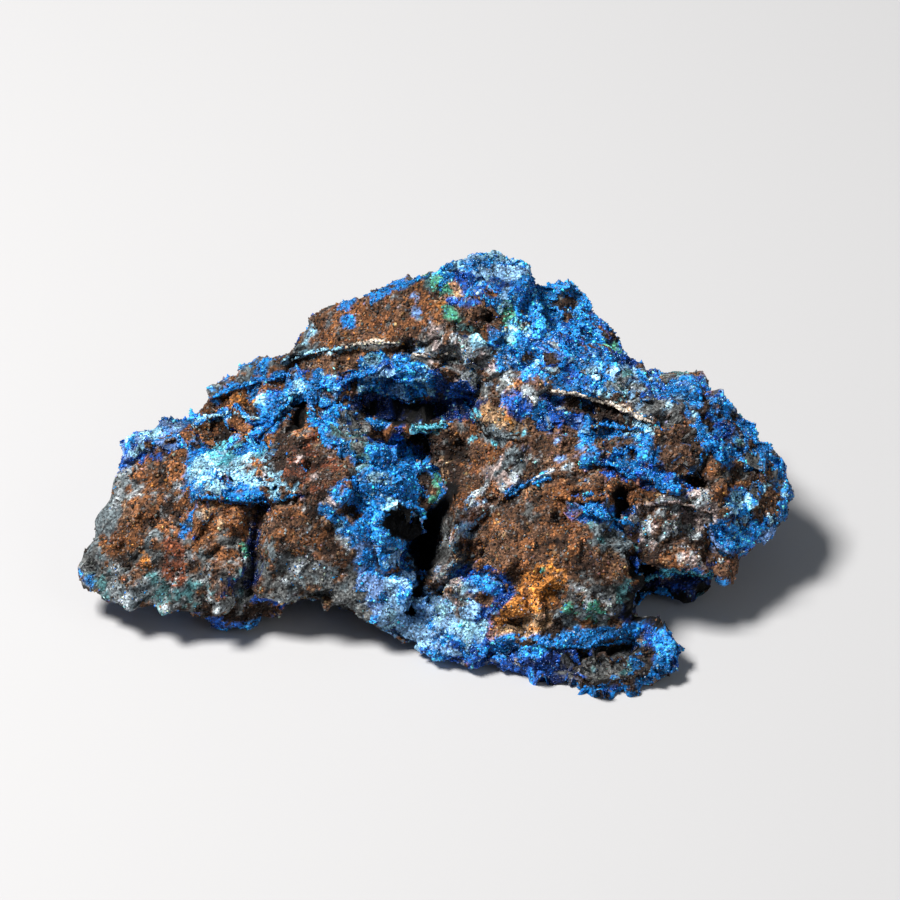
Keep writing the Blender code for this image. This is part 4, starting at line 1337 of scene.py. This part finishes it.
def build_druse(name, surfaces, family, side, material, sizes, seed):
    """One piece of many small crystals or crumbs, joined in one mesh."""
    place, outward, width, tint = sown(surfaces, FAMILIES[family], side, sizes, seed)
    dice = np.random.default_rng(seed + 1)
    count = len(place)
    lean = unit(unit(outward) + 0.55 * dice.normal(size=(count, 3)))
    wide = unit(np.cross(lean, dice.normal(size=(count, 3))))
    thick = np.cross(lean, wide)
    width = width * np.exp(0.35 * dice.normal(size=count)).clip(0.45, 2.0)
    thin, fat = (0.45, 0.8) if family == "limonite" else (0.22, 0.5)
    sides = np.stack((
        wide * (0.6 * width)[:, None],
        thick * (width * dice.uniform(thin, fat, count))[:, None],
        lean * (width * dice.uniform(0.4, 0.8, count))[:, None],
    ), axis=1)
    template = BLADE_POINTS[None, :, :] * dice.uniform(0.7, 1.2, (count, len(BLADE_POINTS), 1))
    corners = np.einsum("npa,nac->npc", template, sides) + place[:, None, :]
    corners[:, :, 2] = np.maximum(corners[:, :, 2], TABLE_GAP)
    faces = BLADE_FACES[None, :, :] + (np.arange(count) * len(BLADE_POINTS))[:, None, None]
    mesh = mesh_from(name, corners.reshape(-1, 3), faces.reshape(-1, 3))
    kinds, part = STRAYS[family]
    others = np.stack([colour_of(kind) for kind in kinds])[dice.integers(len(kinds), size=count)]
    stray = (dice.random(count) < part)[:, None]
    light = np.exp(0.5 * dice.normal(size=(count, 1)))
    warmth = 0.12 * dice.normal(size=(count, 1))
    # strays are dimmed where the ground's tint is dark, so they keep its painted shade
    others = others * np.clip(tint.max(axis=1, keepdims=True) / 0.35, 0.12, 1.0)
    shown = np.where(stray, others, tint) * light * (1 + warmth * np.array((0.6, 1.0, -0.4)))
    shown = np.clip(shown, 0, 0.92)
    write_tint(mesh, np.repeat(shown, len(BLADE_POINTS), axis=0))
    grid_map(mesh, count, len(BLADE_FACES))
    mesh.materials.append(material)
    seat(add_object(name, mesh), "limonite" if family == "limonite" else "azurite")


class SpecimenColours(bpy.types.PropertyGroup):
    """Colours of what the specimen is made of."""

    __annotations__ = {
        kind: bpy.props.FloatVectorProperty(
            name=kind.title(), description="Colour of the " + text, default=colour, size=3,
            min=0.0, max=1.0, subtype="COLOR")
        for kind, (colour, _, _, _, text) in PALETTE.items()
    }


class SpecimenSizes(bpy.types.PropertyGroup):
    """Sizes that the look is built with."""

    rock_cell: bpy.props.FloatProperty(
        name="Rock cell", description="Width of one face of the rock's mesh", default=0.295 * MM,
        min=0.15 * MM, max=2 * MM, precision=5, unit="LENGTH")
    crust_cell: bpy.props.FloatProperty(
        name="Crust cell", description="Width of one face of a crust's mesh", default=0.18 * MM,
        min=0.12 * MM, max=1 * MM, precision=5, unit="LENGTH")
    crystal_scale: bpy.props.FloatProperty(
        name="Crystal scale", description="Size of the crystals against their usual size", default=1.0,
        min=0.5, max=3.0, subtype="FACTOR")
    crystal_spread: bpy.props.FloatProperty(
        name="Crystal spread", description="How much of the ground the crystals' widths would fill",
        default=0.8, min=0.1, max=2.0, subtype="FACTOR")
    crumb_spread: bpy.props.FloatProperty(
        name="Crumb spread", description="How much of the bare rock the crumbs' widths would fill",
        default=0.4, min=0.1, max=2.0, subtype="FACTOR")
    floor_width: bpy.props.FloatProperty(
        name="Floor width", description="Width of the floor under the specimen", default=3.0,
        min=0.2, max=10.0, unit="LENGTH")
    floor_colour: bpy.props.FloatVectorProperty(
        name="Floor colour", description="Colour of the floor", default=(0.50, 0.50, 0.51), size=3,
        min=0.0, max=1.0, subtype="COLOR")


class SPECIMEN_OT_rock(bpy.types.Operator):
    """Builds the brown limonite rock"""

    bl_idname = "specimen.rock"
    bl_label = "Limonite rock"

    def execute(self, context):
        build_rock(context.scene.specimen_sizes)
        return {"FINISHED"}


class SPECIMEN_OT_crusts(bpy.types.Operator):
    """Builds the azurite crusts that lie on the rock"""

    bl_idname = "specimen.crusts"
    bl_label = "Azurite crusts"

    def execute(self, context):
        rock = bpy.data.objects.get("limonite_rock")
        if rock is None:
            raise RuntimeError("the crusts need the rock: build it first")
        rock_tree = tree_of(rock.data)
        blockers = blocker()
        material = mineral_material("Azurite crust", 0.65, 0.4, 0.08 * MM, 0.15 * MM)
        for number, node in enumerate(sorted(n for n in frame["nodes"] if n.startswith("azurite_"))):
            build_crust(node, context.scene.specimen_sizes, rock_tree, blockers, material, 500 + 20 * number)
        return {"FINISHED"}


def grounds_of(*names):
    """The meshes of these pieces and of all the crusts."""
    return [made.data for made in bpy.data.objects if made.name in names or made.name.endswith("_crust")]


def tree_of(mesh):
    return BVHTree.FromPolygons([v.co[:] for v in mesh.vertices], triangles_of(mesh).tolist())


class SPECIMEN_OT_plates(bpy.types.Operator):
    """Builds the thin broken plates that stand out along the ledges"""

    bl_idname = "specimen.plates"
    bl_label = "Thin plates"

    def execute(self, context):
        trees = [tree_of(mesh) for mesh in grounds_of("limonite_rock")]
        if len(trees) < 2:
            raise RuntimeError("the plates need the rock and its crusts: build them first")
        build_lips(trees, mineral_material("Plate edge", 0.8, 0.45, 0.04 * MM, 0.14 * MM))
        return {"FINISHED"}


class SPECIMEN_OT_druse(bpy.types.Operator):
    """Sows the crystals on the rock and the crusts"""

    bl_idname = "specimen.druse"
    bl_label = "Crystals"

    def execute(self, context):
        grounds = grounds_of("limonite_rock", "thin_plates")
        if len(grounds) < 2:
            raise RuntimeError("the crystals need the rock and its crusts: build them first")
        sizes = context.scene.specimen_sizes
        seeds = itertools.count(61)
        for family, name, sides, title, roughness, index in DRUSE:
            material = crystal_material(title, roughness, index)
            for side in sides:
                build_druse(f"{name}_{side}", grounds, family, side, material, sizes, next(seeds))
        return {"FINISHED"}


def add_lamp(name, place, width, power, colour):
    data = bpy.data.lights.new(name, "AREA")
    data.energy, data.size, data.color = power, width, colour
    lamp = add_object(name, data)
    lamp.location = place
    lamp.rotation_euler = (LAMP_TARGET - Vector(place)).to_track_quat("-Z", "Y").to_euler()


def build_stage(sizes):
    half = sizes.floor_width / 2
    mesh = bpy.data.meshes.new("floor")
    corners = [(-half, -half, 0), (half, -half, 0), (half, half, 0), (-half, half, 0)]
    mesh.from_pydata(corners, [], [(0, 1, 2, 3)])
    material, wire = new_material("Pale floor")
    cloud = grain_noise(wire, wire.node("TexCoord", {}, {}, "Object"), 12 * MM, 3)
    colours = {0: 0.06 * cloud, 6: (*sizes.floor_colour, 1), 7: (0.5, 0.5, 0.5, 1)}
    base = wire.node("Mix", {"data_type": "RGBA"}, colours, 2)
    surface(wire, {"Base Color": base, "Roughness": 0.8})
    mesh.materials.append(material)
    add_object("floor", mesh)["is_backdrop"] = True
    scene = bpy.context.scene
    scene.view_settings.view_transform = "Standard"
    scene.world = bpy.data.worlds.new("Soft room")
    scene.world.use_nodes = True
    room = scene.world.node_tree.nodes["Background"].inputs
    room["Color"].default_value, room["Strength"].default_value = ROOM_COLOUR, ROOM_STRENGTH
    for lamp in LAMPS:
        add_lamp(*lamp)
    data = bpy.data.cameras.new("camera")
    data.sensor_width, data.lens = CAMERA_SENSOR, CAMERA_LENS
    data.clip_start, data.clip_end = 0.05, 10
    scene.camera = add_object("camera", data)
    scene.camera.location = CAMERA_TARGET + CAMERA_DISTANCE * TOWARDS_VIEWER
    scene.camera.rotation_euler = (math.pi / 2 - VIEW_ELEVATION, 0, 0)


class SPECIMEN_OT_stage(bpy.types.Operator):
    """Builds the floor, the lights and the camera"""

    bl_idname = "specimen.stage"
    bl_label = "Stage"

    def execute(self, context):
        build_stage(context.scene.specimen_sizes)
        return {"FINISHED"}


OPERATORS = (SPECIMEN_OT_rock, SPECIMEN_OT_crusts, SPECIMEN_OT_plates, SPECIMEN_OT_druse, SPECIMEN_OT_stage)


class SPECIMEN_PT_panel(bpy.types.Panel):
    """Lists what builds the specimen, and its sizes and colours"""

    bl_idname = "SPECIMEN_PT_panel"
    bl_label = "Azurite specimen"
    bl_space_type = "VIEW_3D"
    bl_region_type = "UI"
    bl_category = "Azurite"

    def draw(self, context):
        for operator in OPERATORS:
            self.layout.operator(operator.bl_idname)
        for group in (context.scene.specimen_sizes, context.scene.specimen_colours):
            for name in group.__annotations__:
                self.layout.prop(group, name)


CLASSES = (SpecimenColours, SpecimenSizes, *OPERATORS, SPECIMEN_PT_panel)


def register():
    for made in CLASSES:
        bpy.utils.register_class(made)
    bpy.types.Scene.specimen_colours = bpy.props.PointerProperty(type=SpecimenColours)
    bpy.types.Scene.specimen_sizes = bpy.props.PointerProperty(type=SpecimenSizes)


def unregister():
    del bpy.types.Scene.specimen_sizes
    del bpy.types.Scene.specimen_colours
    for made in reversed(CLASSES):
        bpy.utils.unregister_class(made)


def main():
    register()
    bpy.ops.specimen.rock()
    bpy.ops.specimen.crusts()
    bpy.ops.specimen.plates()
    bpy.ops.specimen.druse()
    bpy.ops.specimen.stage()
    boxes = {"cad": CAD_BOX, "visual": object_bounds()}
    {name: [[float(v) for v in corner] for corner in box] for name, box in boxes.items()}


if __name__ == "__main__":
    main()
